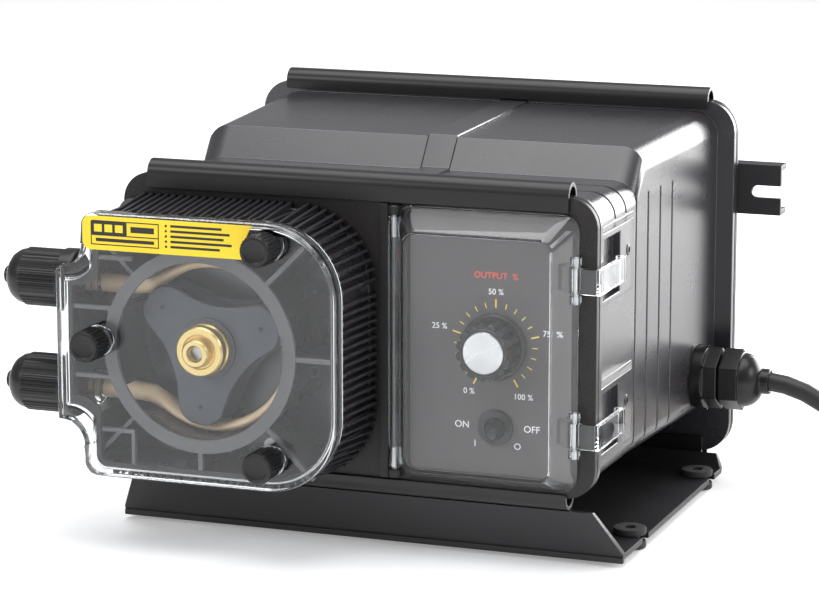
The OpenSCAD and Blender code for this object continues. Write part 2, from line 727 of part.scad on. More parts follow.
// ---------- clear cover ----------
module cover_slab(i, y, lift) along_y(y, y + 0.2) round_box(24.5 + i + 8 * lift, 109.5 - i - 7.5 * lift,
    40.5 + i + 8.5 * lift, 168.5 - i - 10 * lift, 8 - i);
module control_cover() color([0.8, 0.85, 0.9, 0.35]) difference() {
    union() {
        hull() {
            cover_slab(0, -115.3, 0);
            cover_slab(0, cover_face, 1);
        }
        // thin rim that lies on the panel
        difference() {
            along_y(-115.3, -113.3) round_box(hinge_x, 111.6, 39, 170, 6);
            block([0, -120, 30], [25.2, -110, 44.2]);
            block([0, -120, 164.8], [25.2, -110, 180]);
        }
        // hinge barrel and the knuckles for the latches
        translate([hinge_x, hinge_y, 44.2]) cylinder(r = 2.8, h = 120.6);
        block([hinge_x, -115.4, 44.2], [26, -113.4, 164.8]);
        for (z = latch_heights) for (s = [-1, 1]) {
            translate([latch_x, hinge_y, z + s * 9 - 2]) cylinder(r = 2.8, h = 4);
            block([latch_x - 4, hinge_y - 1, z + s * 9 - 2], [latch_x, -113.4, z + s * 9 + 2]);
        }
    }
    hull() {
        cover_slab(2.2, -113.6, 0);
        cover_slab(2.2, cover_face + 2.2, 1);
    }
    along_y(-116, -113) round_box(27.4, 107.2, 43, 166, 6);
    along_z(30, 180) translate([hinge_x, hinge_y]) circle(1.26);
    for (z = latch_heights) translate([latch_x, hinge_y, z - 12]) cylinder(r = 1.2, h = 24);
    // room for the latch barrels
    for (z = latch_heights) block([latch_x - 4.1, -121.9, z - 6.6], [latch_x + 5, -110, z + 6.6]);
}
module cover_hinge_pins() color("silver") for (z = [39.5, 155]) translate([hinge_x, hinge_y, z])
    cylinder(r = 1.2, h = 14.5);

// Clear latch: barrel, arm over the panel's edge, long leg along the side with a small bump
module latch(z) color([0.85, 0.9, 0.93, 0.4]) difference() {
    along_z(z - latch_half, z + latch_half) {
        translate([latch_x, hinge_y]) circle(2.8);
        translate([latch_x, hinge_y - 2.8]) square([12.9, 2.4]);
        translate([120.9, hinge_y - 2.8]) square([2.5, 41]);
        translate([120, -80]) circle(1.6);
    }
    translate([latch_x, hinge_y, z - 12]) cylinder(r = 1.26, h = 24);
}
module upper_latch() latch(latch_heights[0]);
module lower_latch() latch(latch_heights[1]);
module latch_pins() color("silver") for (z = latch_heights) translate([latch_x, hinge_y, z - 11])
    cylinder(r = 1.2, h = 22);

// ---------- gland and cord ----------
module gland_body() color([0.12, 0.12, 0.12]) difference() {
    union() {
        rod_x(gland_y, gland_z, 10.4, gland_start - 9, gland_start + 1);
        rod_x(gland_y, gland_z, 16, gland_start + 1, gland_start + 7.5);
        translate([gland_start + 7.5, gland_y, gland_z]) rotate([0, 90, 0])
            cylinder(r = gland_flats / sqrt(3), h = 7.5, $fn = 6);
        rod_x(gland_y, gland_z, 12, gland_start + 15, gland_start + 16);
    }
    rod_x(gland_y, gland_z, cord_r, gland_start - 10, gland_start + 17);
}
module gland_nut() color([0.12, 0.12, 0.12]) difference() {
    union() {
        translate([gland_start + 16, gland_y, gland_z]) rotate([0, 90, 0])
            cylinder(r = gland_flats / sqrt(3), h = 10, $fn = 6);
        translate([gland_start + 26, gland_y, gland_z]) rotate([0, 90, 0]) rotate_extrude()
            intersection() {
                square([14, 11]);
                union() {
                    square([5, 11]);
                    translate([4, 0]) circle(9.8);
                }
            }
        rod_x(gland_y, gland_z, 6.5, gland_start + 34, gland_end);
    }
    rod_x(gland_y, gland_z, cord_r, gland_start + 15, gland_end + 1);
}

// Cord from the gland to the coil: the points are on the cord's centre line
cord_route = [[146, 63, 58], [158, 63, 58], [166, 63, 57], [176, 63, 53.9], [186, 63, 48.7],
    [196, 63, 41.7], [205, 63, 34], [214, 63, 25.9], [223, 63, 18.4], [233, 63, 11.7],
    [243, 63, 7], [254, 63, 4.8]];
plug_route = [[coil_x, plug_y, plug_z + 0.3], [242, plug_y, plug_z + 0.4], [228, plug_y, plug_z + 0.2],
    [215, plug_y, plug_z]];
// A ring of points round the cord at point n of a route
function unit(v) = v / norm(v);
function heading(route, n) = unit(route[min(n + 1, len(route) - 1)] - route[max(n - 1, 0)]);
function ring(route, n, sides) = let (d = heading(route, n), a = unit(cross(d, [0, 0, 1])),
    b = cross(a, d)) [for (k = [0:sides - 1]) let (t = 360 * k / sides)
        route[n] + cord_r * (cos(t) * a + sin(t) * b)];
module cord_tube(route) {
    sides = 10;
    last = len(route) - 1;
    points = [for (n = [0:last]) each ring(route, n, sides)];
    walls = [for (n = [0:last - 1]) for (k = [0:sides - 1])
        [n * sides + k, n * sides + (k + 1) % sides, (n + 1) * sides + (k + 1) % sides,
            (n + 1) * sides + k]];
    start = [[for (k = [0:sides - 1]) sides - 1 - k]];
    end = [[for (k = [0:sides - 1]) last * sides + k]];
    polyhedron(points = points, faces = concat(walls, start, end));
}
module power_cord() color([0.15, 0.15, 0.15]) {
    cord_tube(cord_route);
    cord_tube(plug_route);
}
module cord_coil() color([0.15, 0.15, 0.15]) translate([coil_x, coil_y, 0]) rotate_extrude($fn = 96)
    difference() {
        translate([coil_mean_r - coil_half, 0]) square([2 * coil_half, coil_top]);
        translate([coil_mean_r + coil_half - 1, 0]) square([10, 0.05]);
    }
module coil_tie() color([0.3, 0.3, 0.3]) translate([coil_x, coil_y, 0]) rotate([0, 0, 20])
    translate([coil_mean_r - coil_half - 1.2, -4, 0]) difference() {
        cube([2 * coil_half + 2.4, 8, coil_top + 1.2]);
        translate([1.2, -1, -1]) cube([2 * coil_half, 10, coil_top + 1]);
    }
module plug() color([0.13, 0.13, 0.13]) translate([0, plug_y, plug_z]) {
    rod_x(0, 0, 7, 209, 215);
    along_x(185, 209) round_box(-12, 12, -14, 13, 6);
    color("gold") for (s = [-1, 1]) block([167, s * 6.35 - 0.75, -1], [185, s * 6.35 + 0.75, 5.3]);
    color("gold") rod_x(0, -9, 2.4, 165, 185);
}

main_housing();
front_panel();
rear_panel();
front_gasket();
rear_gasket();
front_top_rail();
front_bottom_rail();
rear_top_rail();
rear_bottom_rail();
mounting_base();
rubber_feet();
wall_bracket();
bracket_screws();
head_housing();
head_gasket();
head_cover();
head_label();
head_screws();
thumb_screw_top();
thumb_screw_left();
thumb_screw_bottom();
pump_tube();
tube_adapters();
discharge_nut();
suction_nut();
rotor_front_plate();
rotor_rear_plate();
roller_1();
roller_2();
roller_3();
roller_pins();
hub_nut();
rotor_shaft();
shaft_bearing();
shaft_seal();
gearbox_case();
gearbox_lid();
output_gear();
idler_gear();
idler_axle();
motor_can();
motor_armature();
circuit_board();
control_faceplate();
potentiometer();
speed_knob();
knob_cap();
switch_body();
switch_lever();
control_cover();
cover_hinge_pins();
upper_latch();
lower_latch();
latch_pins();
gland_body();
gland_nut();
power_cord();
cord_coil();
coil_tie();
plug();
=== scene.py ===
"""Looks of a peristaltic metering pump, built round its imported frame."""

import json
import math

import bmesh
import bpy
from mathutils import Matrix, Vector


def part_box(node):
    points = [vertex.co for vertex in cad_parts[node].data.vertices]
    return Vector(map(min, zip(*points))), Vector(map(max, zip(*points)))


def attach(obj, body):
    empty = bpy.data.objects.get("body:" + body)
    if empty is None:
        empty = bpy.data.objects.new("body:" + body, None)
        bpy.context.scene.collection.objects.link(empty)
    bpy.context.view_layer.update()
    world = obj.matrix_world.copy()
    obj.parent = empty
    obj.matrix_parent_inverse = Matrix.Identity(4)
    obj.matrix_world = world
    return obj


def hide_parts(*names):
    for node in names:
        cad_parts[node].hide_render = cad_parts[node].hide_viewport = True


bl_info = {
    "name": "Peristaltic pump looks",
    "version": (1, 0, 0),
    "blender": (4, 5, 0),
    "location": "View3D > Sidebar > Pump",
    "description": "Builds the visible pieces, finishes, stage and camera of a peristaltic pump",
    "category": "Object",
}

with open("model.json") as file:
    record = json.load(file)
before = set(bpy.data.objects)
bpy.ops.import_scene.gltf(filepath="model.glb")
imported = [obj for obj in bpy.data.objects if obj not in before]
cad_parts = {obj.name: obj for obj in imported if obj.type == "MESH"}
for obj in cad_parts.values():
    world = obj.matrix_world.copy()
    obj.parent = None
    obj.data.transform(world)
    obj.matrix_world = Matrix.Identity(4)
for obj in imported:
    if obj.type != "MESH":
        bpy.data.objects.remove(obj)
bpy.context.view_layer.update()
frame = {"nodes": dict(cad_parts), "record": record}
NODES = frame["nodes"]
MM = 0.001
TURN_TO = {
    "x": Matrix.Rotation(math.pi / 2, 4, "Y"),
    "y": Matrix.Rotation(-math.pi / 2, 4, "X"),
    "z": Matrix.Identity(4),
}

# Places on the pump, in millimetres
ROTOR = (-64.0, 100.0)
ROTOR_FACE = -139.0
PIN_CIRCLE = 29.5
FIRST_LOBE = 22
TUBE_Y = -128.5
PORT_RISE = 26.0
HEAD_FACE = -159.0
FACEPLATE_Y = -110.8
INK_Y = FACEPLATE_Y - 0.03
KNOB = (70.0, 105.5)
KNOB_REST = 210.0
SWITCH = (70.5, 66.5)
THUMBS = {"top": (-26.0, 154.0), "left": (-113.5, 103.0), "bottom": (-26.0, 52.0)}
LATCH_HEIGHTS = (140.0, 67.0)
CORD_R = 4.75
CORD_ROUTE = (
    (146, 63, 58), (158, 63, 58), (166, 63, 57), (176, 63, 53.9), (186, 63, 48.7), (196, 63, 41.7),
    (205, 63, 34), (214, 63, 25.9), (223, 63, 18.4), (233, 63, 11.7), (243, 63, 7),
)
COIL_X = 254.0
COIL_OUTER = 63.3
COIL_INNER = 38.0
COIL_Y = 63.0 + COIL_OUTER
PLUG_ROUTE = ((242, 189.6, 14.4), (228, 189.6, 14.2), (212, 189.6, 14))
# How far the route's length may lie from the stated one, in metres
CORD_SLACK = 0.02


# ---------- sizes and colours ----------
class PumpSizes(bpy.types.PropertyGroup):
    """Sizes of the visible details"""

    edge: bpy.props.FloatProperty(
        name="Moulded edge", description="Radius of the edges of moulded plastic pieces",
        default=0.0005, min=0.0001, max=0.001, unit="LENGTH")
    sheet_edge: bpy.props.FloatProperty(
        name="Sheet edge", description="Radius of the edges of rails and base sheets",
        default=0.0004, min=0.0001, max=0.0008, unit="LENGTH")
    rib_pitch: bpy.props.FloatProperty(
        name="Rib pitch", description="Distance between the fine ribs round the pump head",
        default=0.004, min=0.003, max=0.008, unit="LENGTH")
    cover_wall: bpy.props.FloatProperty(
        name="Cover wall", description="Thickness of the clear cover over the controls",
        default=0.0022, min=0.0015, max=0.003, unit="LENGTH")
    nut_flutes: bpy.props.IntProperty(
        name="Nut flutes", description="Number of fine flutes round a compression nut",
        default=40, min=24, max=60)
    thumb_flutes: bpy.props.IntProperty(
        name="Thumb screw flutes", description="Number of flutes round a thumb screw",
        default=26, min=16, max=40)
    knob_flutes: bpy.props.IntProperty(
        name="Knob flutes", description="Number of wide flutes round the speed knob",
        default=15, min=9, max=24)
    cord_length: bpy.props.FloatProperty(
        name="Cord length", description="Real length of the power cord, from the case to the plug",
        default=1.9, min=1.5, max=2.5, unit="LENGTH")


def colour_property(name, description, default):
    """One colour that a user may change"""
    return bpy.props.FloatVectorProperty(
        name=name, description=description, default=default, min=0, max=1, size=3, subtype="COLOR")


class PumpColours(bpy.types.PropertyGroup):
    """Base colours of the finishes"""

    case: colour_property("Case", "Charcoal plastic of the case and head", (0.024, 0.022, 0.025))
    panel: colour_property("Panels", "Front and rear panels", (0.0135, 0.012, 0.0115))
    rail: colour_property("Rails", "Satin clamp rails", (0.009, 0.009, 0.0095))
    base: colour_property("Base", "Mounting base and bracket", (0.016, 0.0155, 0.017))
    label: colour_property("Label", "Yellow label on the head cover", (0.90, 0.60, 0.02))
    tube: colour_property("Tube", "Pump tube", (0.78, 0.58, 0.38))
    brass: colour_property("Brass", "Hub nut on the rotor", (0.62, 0.30, 0.07))
    faceplate: colour_property("Faceplate", "Plate behind the controls", (0.070, 0.062, 0.062))
    print_white: colour_property("White print", "Numbers and words on the faceplate", (0.82, 0.82, 0.80))
    print_yellow: colour_property("Yellow print", "Tick marks round the knob", (0.85, 0.62, 0.10))
    print_red: colour_property("Red print", "Heading on the faceplate", (0.75, 0.10, 0.04))


# ---------- shaping helpers, in millimetres ----------
def soften(bm, width, steps=2, angle=32, mark=-1):
    """Round every edge that is sharper than the angle; mark is the finish number of the new faces"""
    sharp = [e for e in bm.edges if len(e.link_faces) == 2
             and e.calc_face_angle(0) > math.radians(angle) and e.calc_length() > 0.02]
    if sharp and width > 0:
        bmesh.ops.bevel(bm, geom=sharp, offset=width, offset_type="OFFSET", segments=steps,
                        profile=0.5, affect="EDGES", clamp_overlap=False, material=mark)


def add_to(bm, other):
    """Put a finished shape into another one"""
    mesh = bpy.data.meshes.new("part")
    other.to_mesh(mesh)
    other.free()
    bm.from_mesh(mesh)
    bpy.data.meshes.remove(mesh)


def set_axis(bm, axis, centre):
    """Stand a shape made along Z on the axis x, y or z, and move it to its place"""
    bmesh.ops.transform(bm, matrix=TURN_TO[axis], verts=bm.verts)
    bmesh.ops.translate(bm, vec=centre, verts=bm.verts)


def refined(node, width, steps=2, angle=32, mark=-1):
    """Merged copy of a frame piece, with its flat triangles joined and its edges rounded"""
    bm = bmesh.new()
    bm.from_mesh(NODES[node].data)
    bmesh.ops.scale(bm, vec=(1 / MM,) * 3, verts=bm.verts)
    bmesh.ops.remove_doubles(bm, verts=bm.verts, dist=0.005)
    bmesh.ops.dissolve_limit(bm, angle_limit=math.radians(0.6), use_dissolve_boundaries=False,
                             verts=bm.verts, edges=bm.edges, delimit=set())
    soften(bm, width, steps, angle, mark)
    return bm


def block(low, high, width=0.0, steps=2):
    """Block given by its two corners, with rounded edges"""
    bm = bmesh.new()
    bmesh.ops.create_cube(bm, size=1)
    bmesh.ops.scale(bm, vec=Vector(high) - Vector(low), verts=bm.verts)
    bmesh.ops.translate(bm, vec=(Vector(high) + Vector(low)) / 2, verts=bm.verts)
    soften(bm, width, steps)
    return bm


def outline(corners, rounding, depth):
    """Flat face in X and Z at a depth, with each corner rounded by its own radius"""
    bm = bmesh.new()
    corner_verts = [bm.verts.new((x, depth, z)) for x, z in corners]
    bm.faces.new(corner_verts)
    for radius in sorted({r for r in rounding if r > 0}):
        picked = [v for v, r in zip(corner_verts, rounding) if r == radius]
        bmesh.ops.bevel(bm, geom=picked, offset=radius, offset_type="OFFSET", profile=0.5,
                        segments=max(3, round(radius * 0.8) + 3), affect="VERTICES",
                        clamp_overlap=False, material=-1)
    return bm


def push(bm, vector):
    """Give a flat outline its thickness"""
    grown = bmesh.ops.extrude_face_region(bm, geom=bm.faces[:])
    moved = [v for v in grown["geom"] if isinstance(v, bmesh.types.BMVert)]
    bmesh.ops.translate(bm, vec=vector, verts=moved)
    bmesh.ops.recalc_face_normals(bm, faces=bm.faces)
    return moved


def slab(corners, rounding, front, back, width=0.0, steps=2):
    """Plate drawn in X and Z between two depths, with rounded rims"""
    bm = outline(corners, rounding, back)
    push(bm, (0, front - back, 0))
    soften(bm, width, steps)
    return bm


def rectangle(x0, x1, z0, z1):
    """Four corners of a rectangle in X and Z"""
    return [(x0, z0), (x1, z0), (x1, z1), (x0, z1)]


def lathe(profile, axis, centre, steps=64, width=0.0):
    """Round shape from (radius, height) points, turned about an axis"""
    bm = bmesh.new()
    line = [bm.verts.new((r, 0, h)) for r, h in profile]
    edges = [bm.edges.new(pair) for pair in zip(line, line[1:])]
    if profile[0][0] > 0 and profile[-1][0] > 0:
        edges.append(bm.edges.new((line[-1], line[0])))
    bmesh.ops.spin(bm, geom=line + edges, cent=(0, 0, 0), axis=(0, 0, 1), dvec=(0, 0, 0),
                   angle=2 * math.pi, steps=steps, use_merge=True, use_duplicate=False)
    bmesh.ops.remove_doubles(bm, verts=bm.verts, dist=0.0005)
    bmesh.ops.recalc_face_normals(bm, faces=bm.faces)
    soften(bm, width, 2, 30)
    set_axis(bm, axis, centre)
    return bm


def fluted(radius, depth, count, length, axis, centre, width=0.2, share=(2, 3)):
    """Rod with flutes: every fourth part of a turn is pressed in by the depth"""
    bm = bmesh.new()
    bmesh.ops.create_circle(bm, cap_ends=True, segments=4 * count, radius=radius)
    bm.verts.ensure_lookup_table()
    pressed = [v for n, v in enumerate(bm.verts) if n % 4 in share]
    factor = (radius - depth) / radius
    bmesh.ops.scale(bm, vec=(factor, factor, 1), verts=pressed)
    push(bm, (0, 0, length))
    ends = [e for e in bm.edges if abs(e.verts[0].co.z - e.verts[1].co.z) < 0.001
            and len(e.link_faces) == 2 and e.calc_face_angle(0) > 1.2]
    bmesh.ops.bevel(bm, geom=ends, offset=width, offset_type="OFFSET", segments=3, profile=0.5,
                    affect="EDGES", clamp_overlap=False, material=-1)
    set_axis(bm, axis, centre)
    return bm


def round_line(name, points, radius, resolution):
    """Round curve with closed ends along points, in the unit of the points"""
    curve = bpy.data.curves.new(name, "CURVE")
    curve.dimensions = "3D"
    curve.bevel_depth = radius
    curve.bevel_resolution = resolution
    curve.use_fill_caps = True
    spline = curve.splines.new("POLY")
    spline.points.add(len(points) - 1)
    for point, place in zip(spline.points, points):
        point.co = (*place, 1)
    return curve


def curve_shape(curve):
    """The mesh of a curve or text, as a bmesh; the curve itself goes"""
    holder = bpy.data.objects.new(curve.name, curve)
    bpy.context.collection.objects.link(holder)
    bpy.context.view_layer.update()
    mesh = bpy.data.meshes.new_from_object(holder.evaluated_get(bpy.context.evaluated_depsgraph_get()))
    bm = bmesh.new()
    bm.from_mesh(mesh)
    bmesh.ops.remove_doubles(bm, verts=bm.verts, dist=0.0002)
    bpy.data.objects.remove(holder)
    bpy.data.curves.remove(curve)
    bpy.data.meshes.remove(mesh)
    return bm


def words(text, size, x, y, z):
    """Printed numbers or words that face the front, centred on a place"""
    curve = bpy.data.curves.new("print", "FONT")
    curve.body = text
    curve.size = size
    curve.align_x = "CENTER"
    curve.align_y = "CENTER"
    curve.resolution_u = 4
    curve.extrude = 0.06
    curve.offset = 0.04
    bm = curve_shape(curve)
    bmesh.ops.rotate(bm, matrix=Matrix.Rotation(math.pi / 2, 3, "X"), verts=bm.verts)
    bmesh.ops.translate(bm, vec=(x, y, z), verts=bm.verts)
    return bm


def finish_piece(name, bm, slot, body, *stands_for, look=None, edge_look=None, angle=38):
    """Make the piece: metres, smooth normals, finish, body and the frame pieces it stands for"""
    bmesh.ops.scale(bm, vec=(MM,) * 3, verts=bm.verts)
    mesh = bpy.data.meshes.new(name)
    bm.to_mesh(mesh)
    bm.free()
    for spare in ("custom_normal", "sharp_edge", "sharp_face"):
        if spare in mesh.attributes:
            mesh.attributes.remove(mesh.attributes[spare])
    for face in mesh.polygons:
        face.use_smooth = True
        face.material_index = 1 if edge_look and face.material_index == 1 else 0
    mesh.set_sharp_from_angle(angle=math.radians(angle))
    piece = bpy.data.objects.new(name, mesh)
    bpy.context.collection.objects.link(piece)
    mesh.materials.clear()
    mesh.materials.append(look or finish(slot))
    if edge_look:
        mesh.materials.append(edge_look)
    normals = piece.modifiers.new("Even normals", "WEIGHTED_NORMAL")
    normals.keep_sharp = True
    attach(piece, body)
    if stands_for:
        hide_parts(*stands_for)
    return piece


def refined_piece(node, name, slot, width, body="pump_body", steps=2):
    """Piece that stands for one frame piece, with its edges rounded"""
    return finish_piece(name, refined(node, width, steps), slot, body, node)


# ---------- finishes ----------
def effect_group(name, build, inputs, outputs):
    """Shared node group with its sockets, made once"""
    if name in bpy.data.node_groups:
        return bpy.data.node_groups[name]
    group = bpy.data.node_groups.new(name, "ShaderNodeTree")
    for label, kind, value in inputs:
        socket = group.interface.new_socket(name=label, in_out="INPUT", socket_type=kind)
        if value is not None:
            socket.default_value = value
    for label, kind in outputs:
        group.interface.new_socket(name=label, in_out="OUTPUT", socket_type=kind)
    build(group, group.nodes.new("NodeGroupInput"), group.nodes.new("NodeGroupOutput"))
    return group


def build_moulded(group, given, result):
    """Fine grain, slow colour variation, scuffs and a bump"""
    nodes, links = group.nodes, group.links
    place = nodes.new("ShaderNodeTexCoord")
    grain = nodes.new("ShaderNodeTexNoise")
    grain.inputs["Detail"].default_value = 3
    links.new(place.outputs["Object"], grain.inputs["Vector"])
    links.new(given.outputs["Grain scale"], grain.inputs["Scale"])
    cloud = nodes.new("ShaderNodeTexNoise")
    cloud.inputs["Scale"].default_value = 26
    cloud.inputs["Detail"].default_value = 4
    links.new(place.outputs["Object"], cloud.inputs["Vector"])
    stretch = nodes.new("ShaderNodeMapping")
    stretch.inputs["Scale"].default_value = (1, 0.18, 1)
    stretch.inputs["Rotation"].default_value = (0.3, 0.1, 0.5)
    links.new(place.outputs["Object"], stretch.inputs["Vector"])
    scuff = nodes.new("ShaderNodeTexNoise")
    scuff.inputs["Scale"].default_value = 240
    scuff.inputs["Detail"].default_value = 6
    links.new(stretch.outputs["Vector"], scuff.inputs["Vector"])
    scuffs = nodes.new("ShaderNodeMapRange")
    scuffs.inputs["From Min"].default_value = 0.62
    scuffs.inputs["From Max"].default_value = 0.78
    links.new(scuff.outputs["Fac"], scuffs.inputs["Value"])
    specks = nodes.new("ShaderNodeMapRange")
    specks.inputs["From Min"].default_value = 0.52
    specks.inputs["From Max"].default_value = 0.70
    links.new(grain.outputs["Fac"], specks.inputs["Value"])
    shade = nodes.new("ShaderNodeMix")
    shade.data_type = "RGBA"
    links.new(cloud.outputs["Fac"], shade.inputs[0])
    links.new(given.outputs["Colour"], shade.inputs[6])
    links.new(given.outputs["Second colour"], shade.inputs[7])
    amount = nodes.new("ShaderNodeMath")
    amount.operation = "MULTIPLY"
    links.new(specks.outputs["Result"], amount.inputs[0])
    links.new(given.outputs["Speckle"], amount.inputs[1])
    spotted = nodes.new("ShaderNodeMix")
    spotted.data_type = "RGBA"
    links.new(amount.outputs["Value"], spotted.inputs[0])
    links.new(shade.outputs[2], spotted.inputs[6])
    links.new(given.outputs["Speckle colour"], spotted.inputs[7])
    rough = nodes.new("ShaderNodeMath")
    rough.operation = "MULTIPLY_ADD"
    links.new(scuffs.outputs["Result"], rough.inputs[0])
    rough.inputs[1].default_value = 0.05
    links.new(given.outputs["Roughness"], rough.inputs[2])
    uneven = nodes.new("ShaderNodeMath")
    uneven.operation = "MULTIPLY_ADD"
    links.new(cloud.outputs["Fac"], uneven.inputs[0])
    uneven.inputs[1].default_value = 0.12
    links.new(rough.outputs["Value"], uneven.inputs[2])
    bump = nodes.new("ShaderNodeBump")
    bump.inputs["Distance"].default_value = 0.00006
    links.new(grain.outputs["Fac"], bump.inputs["Height"])
    links.new(given.outputs["Bump"], bump.inputs["Strength"])
    links.new(spotted.outputs[2], result.inputs["Colour"])
    links.new(uneven.outputs["Value"], result.inputs["Roughness"])
    links.new(bump.outputs["Normal"], result.inputs["Normal"])


def moulded_group():
    """The shared effect of every solid finish"""
    return effect_group(
        "Moulded surface", build_moulded,
        [("Colour", "NodeSocketColor", None), ("Second colour", "NodeSocketColor", None),
         ("Speckle colour", "NodeSocketColor", None), ("Speckle", "NodeSocketFloat", 0.0),
         ("Grain scale", "NodeSocketFloat", 1500.0), ("Roughness", "NodeSocketFloat", 0.4),
         ("Bump", "NodeSocketFloat", 0.2)],
        [("Colour", "NodeSocketColor"), ("Roughness", "NodeSocketFloat"),
         ("Normal", "NodeSocketVector")])


def solid_finish(name, colour, rough=0.4, metal=0.0, grain=1500.0, bump=0.2, speckle=0.0,
                 speckle_colour=None, second=None, extra=None):
    """Opaque finish: the shared effect in front of one Principled shader"""
    if name in bpy.data.materials:
        return bpy.data.materials[name]
    material = bpy.data.materials.new(name)
    material.use_nodes = True
    tree = material.node_tree
    shader = tree.nodes["Principled BSDF"]
    effect = tree.nodes.new("ShaderNodeGroup")
    effect.node_tree = moulded_group()
    effect.inputs["Colour"].default_value = (*colour, 1)
    lighter = second or [min(1, c * 1.25 + 0.002) for c in colour]
    effect.inputs["Second colour"].default_value = (*lighter, 1)
    spots = speckle_colour or [min(1, c * 2.2 + 0.01) for c in colour]
    effect.inputs["Speckle colour"].default_value = (*spots, 1)
    effect.inputs["Speckle"].default_value = speckle
    effect.inputs["Grain scale"].default_value = grain
    effect.inputs["Roughness"].default_value = rough
    effect.inputs["Bump"].default_value = bump
    tree.links.new(effect.outputs["Colour"], shader.inputs["Base Color"])
    tree.links.new(effect.outputs["Roughness"], shader.inputs["Roughness"])
    tree.links.new(effect.outputs["Normal"], shader.inputs["Normal"])
    shader.inputs["Metallic"].default_value = metal
    for socket, value in (extra or {}).items():
        shader.inputs[socket].default_value = value
    return material


def clear_finish(name, tint=(0.93, 0.95, 0.96), rough=0.012):
    """Clear polycarbonate that lets light through to what is behind it"""
    if name in bpy.data.materials:
        return bpy.data.materials[name]
    material = bpy.data.materials.new(name)
    material.use_nodes = True
    tree = material.node_tree
    shader = tree.nodes["Principled BSDF"]
    shader.inputs["Base Color"].default_value = (*tint, 1)
    shader.inputs["Transmission Weight"].default_value = 1.0
    shader.inputs["IOR"].default_value = 1.42
    place = tree.nodes.new("ShaderNodeTexCoord")
    haze = tree.nodes.new("ShaderNodeTexNoise")
    haze.inputs["Scale"].default_value = 60
    tree.links.new(place.outputs["Object"], haze.inputs["Vector"])
    roughness = tree.nodes.new("ShaderNodeMapRange")
    roughness.inputs["To Min"].default_value = rough * 0.5
    roughness.inputs["To Max"].default_value = rough * 1.6
    tree.links.new(haze.outputs["Fac"], roughness.inputs["Value"])
    tree.links.new(roughness.outputs["Result"], shader.inputs["Roughness"])
    through = tree.nodes.new("ShaderNodeBsdfTransparent")
    through.inputs["Color"].default_value = (*tint, 1)
    path = tree.nodes.new("ShaderNodeLightPath")
    mix = tree.nodes.new("ShaderNodeMixShader")
    tree.links.new(path.outputs["Is Shadow Ray"], mix.inputs[0])
    tree.links.new(shader.outputs["BSDF"], mix.inputs[1])
    tree.links.new(through.outputs["BSDF"], mix.inputs[2])
    tree.links.new(mix.outputs["Shader"], tree.nodes["Material Output"].inputs["Surface"])
    return material


def lit_edge_finish():
    """Moulded edges of the clear pieces, whitish and with a faint glow: a painted highlight for the light
    the edges gather
    """
    name = "clear edge"
    if name in bpy.data.materials:
        return bpy.data.materials[name]
    material = clear_finish(name, (0.97, 0.97, 0.98), 0.2)
    shader = material.node_tree.nodes["Principled BSDF"]
    shader.inputs["Transmission Weight"].default_value = 0.55
    # Painted highlight: a faint white glow on the edges, though they are no lamp
    shader.inputs["Emission Color"].default_value = (1, 1, 1, 1)
    shader.inputs["Emission Strength"].default_value = 0.22
    return material


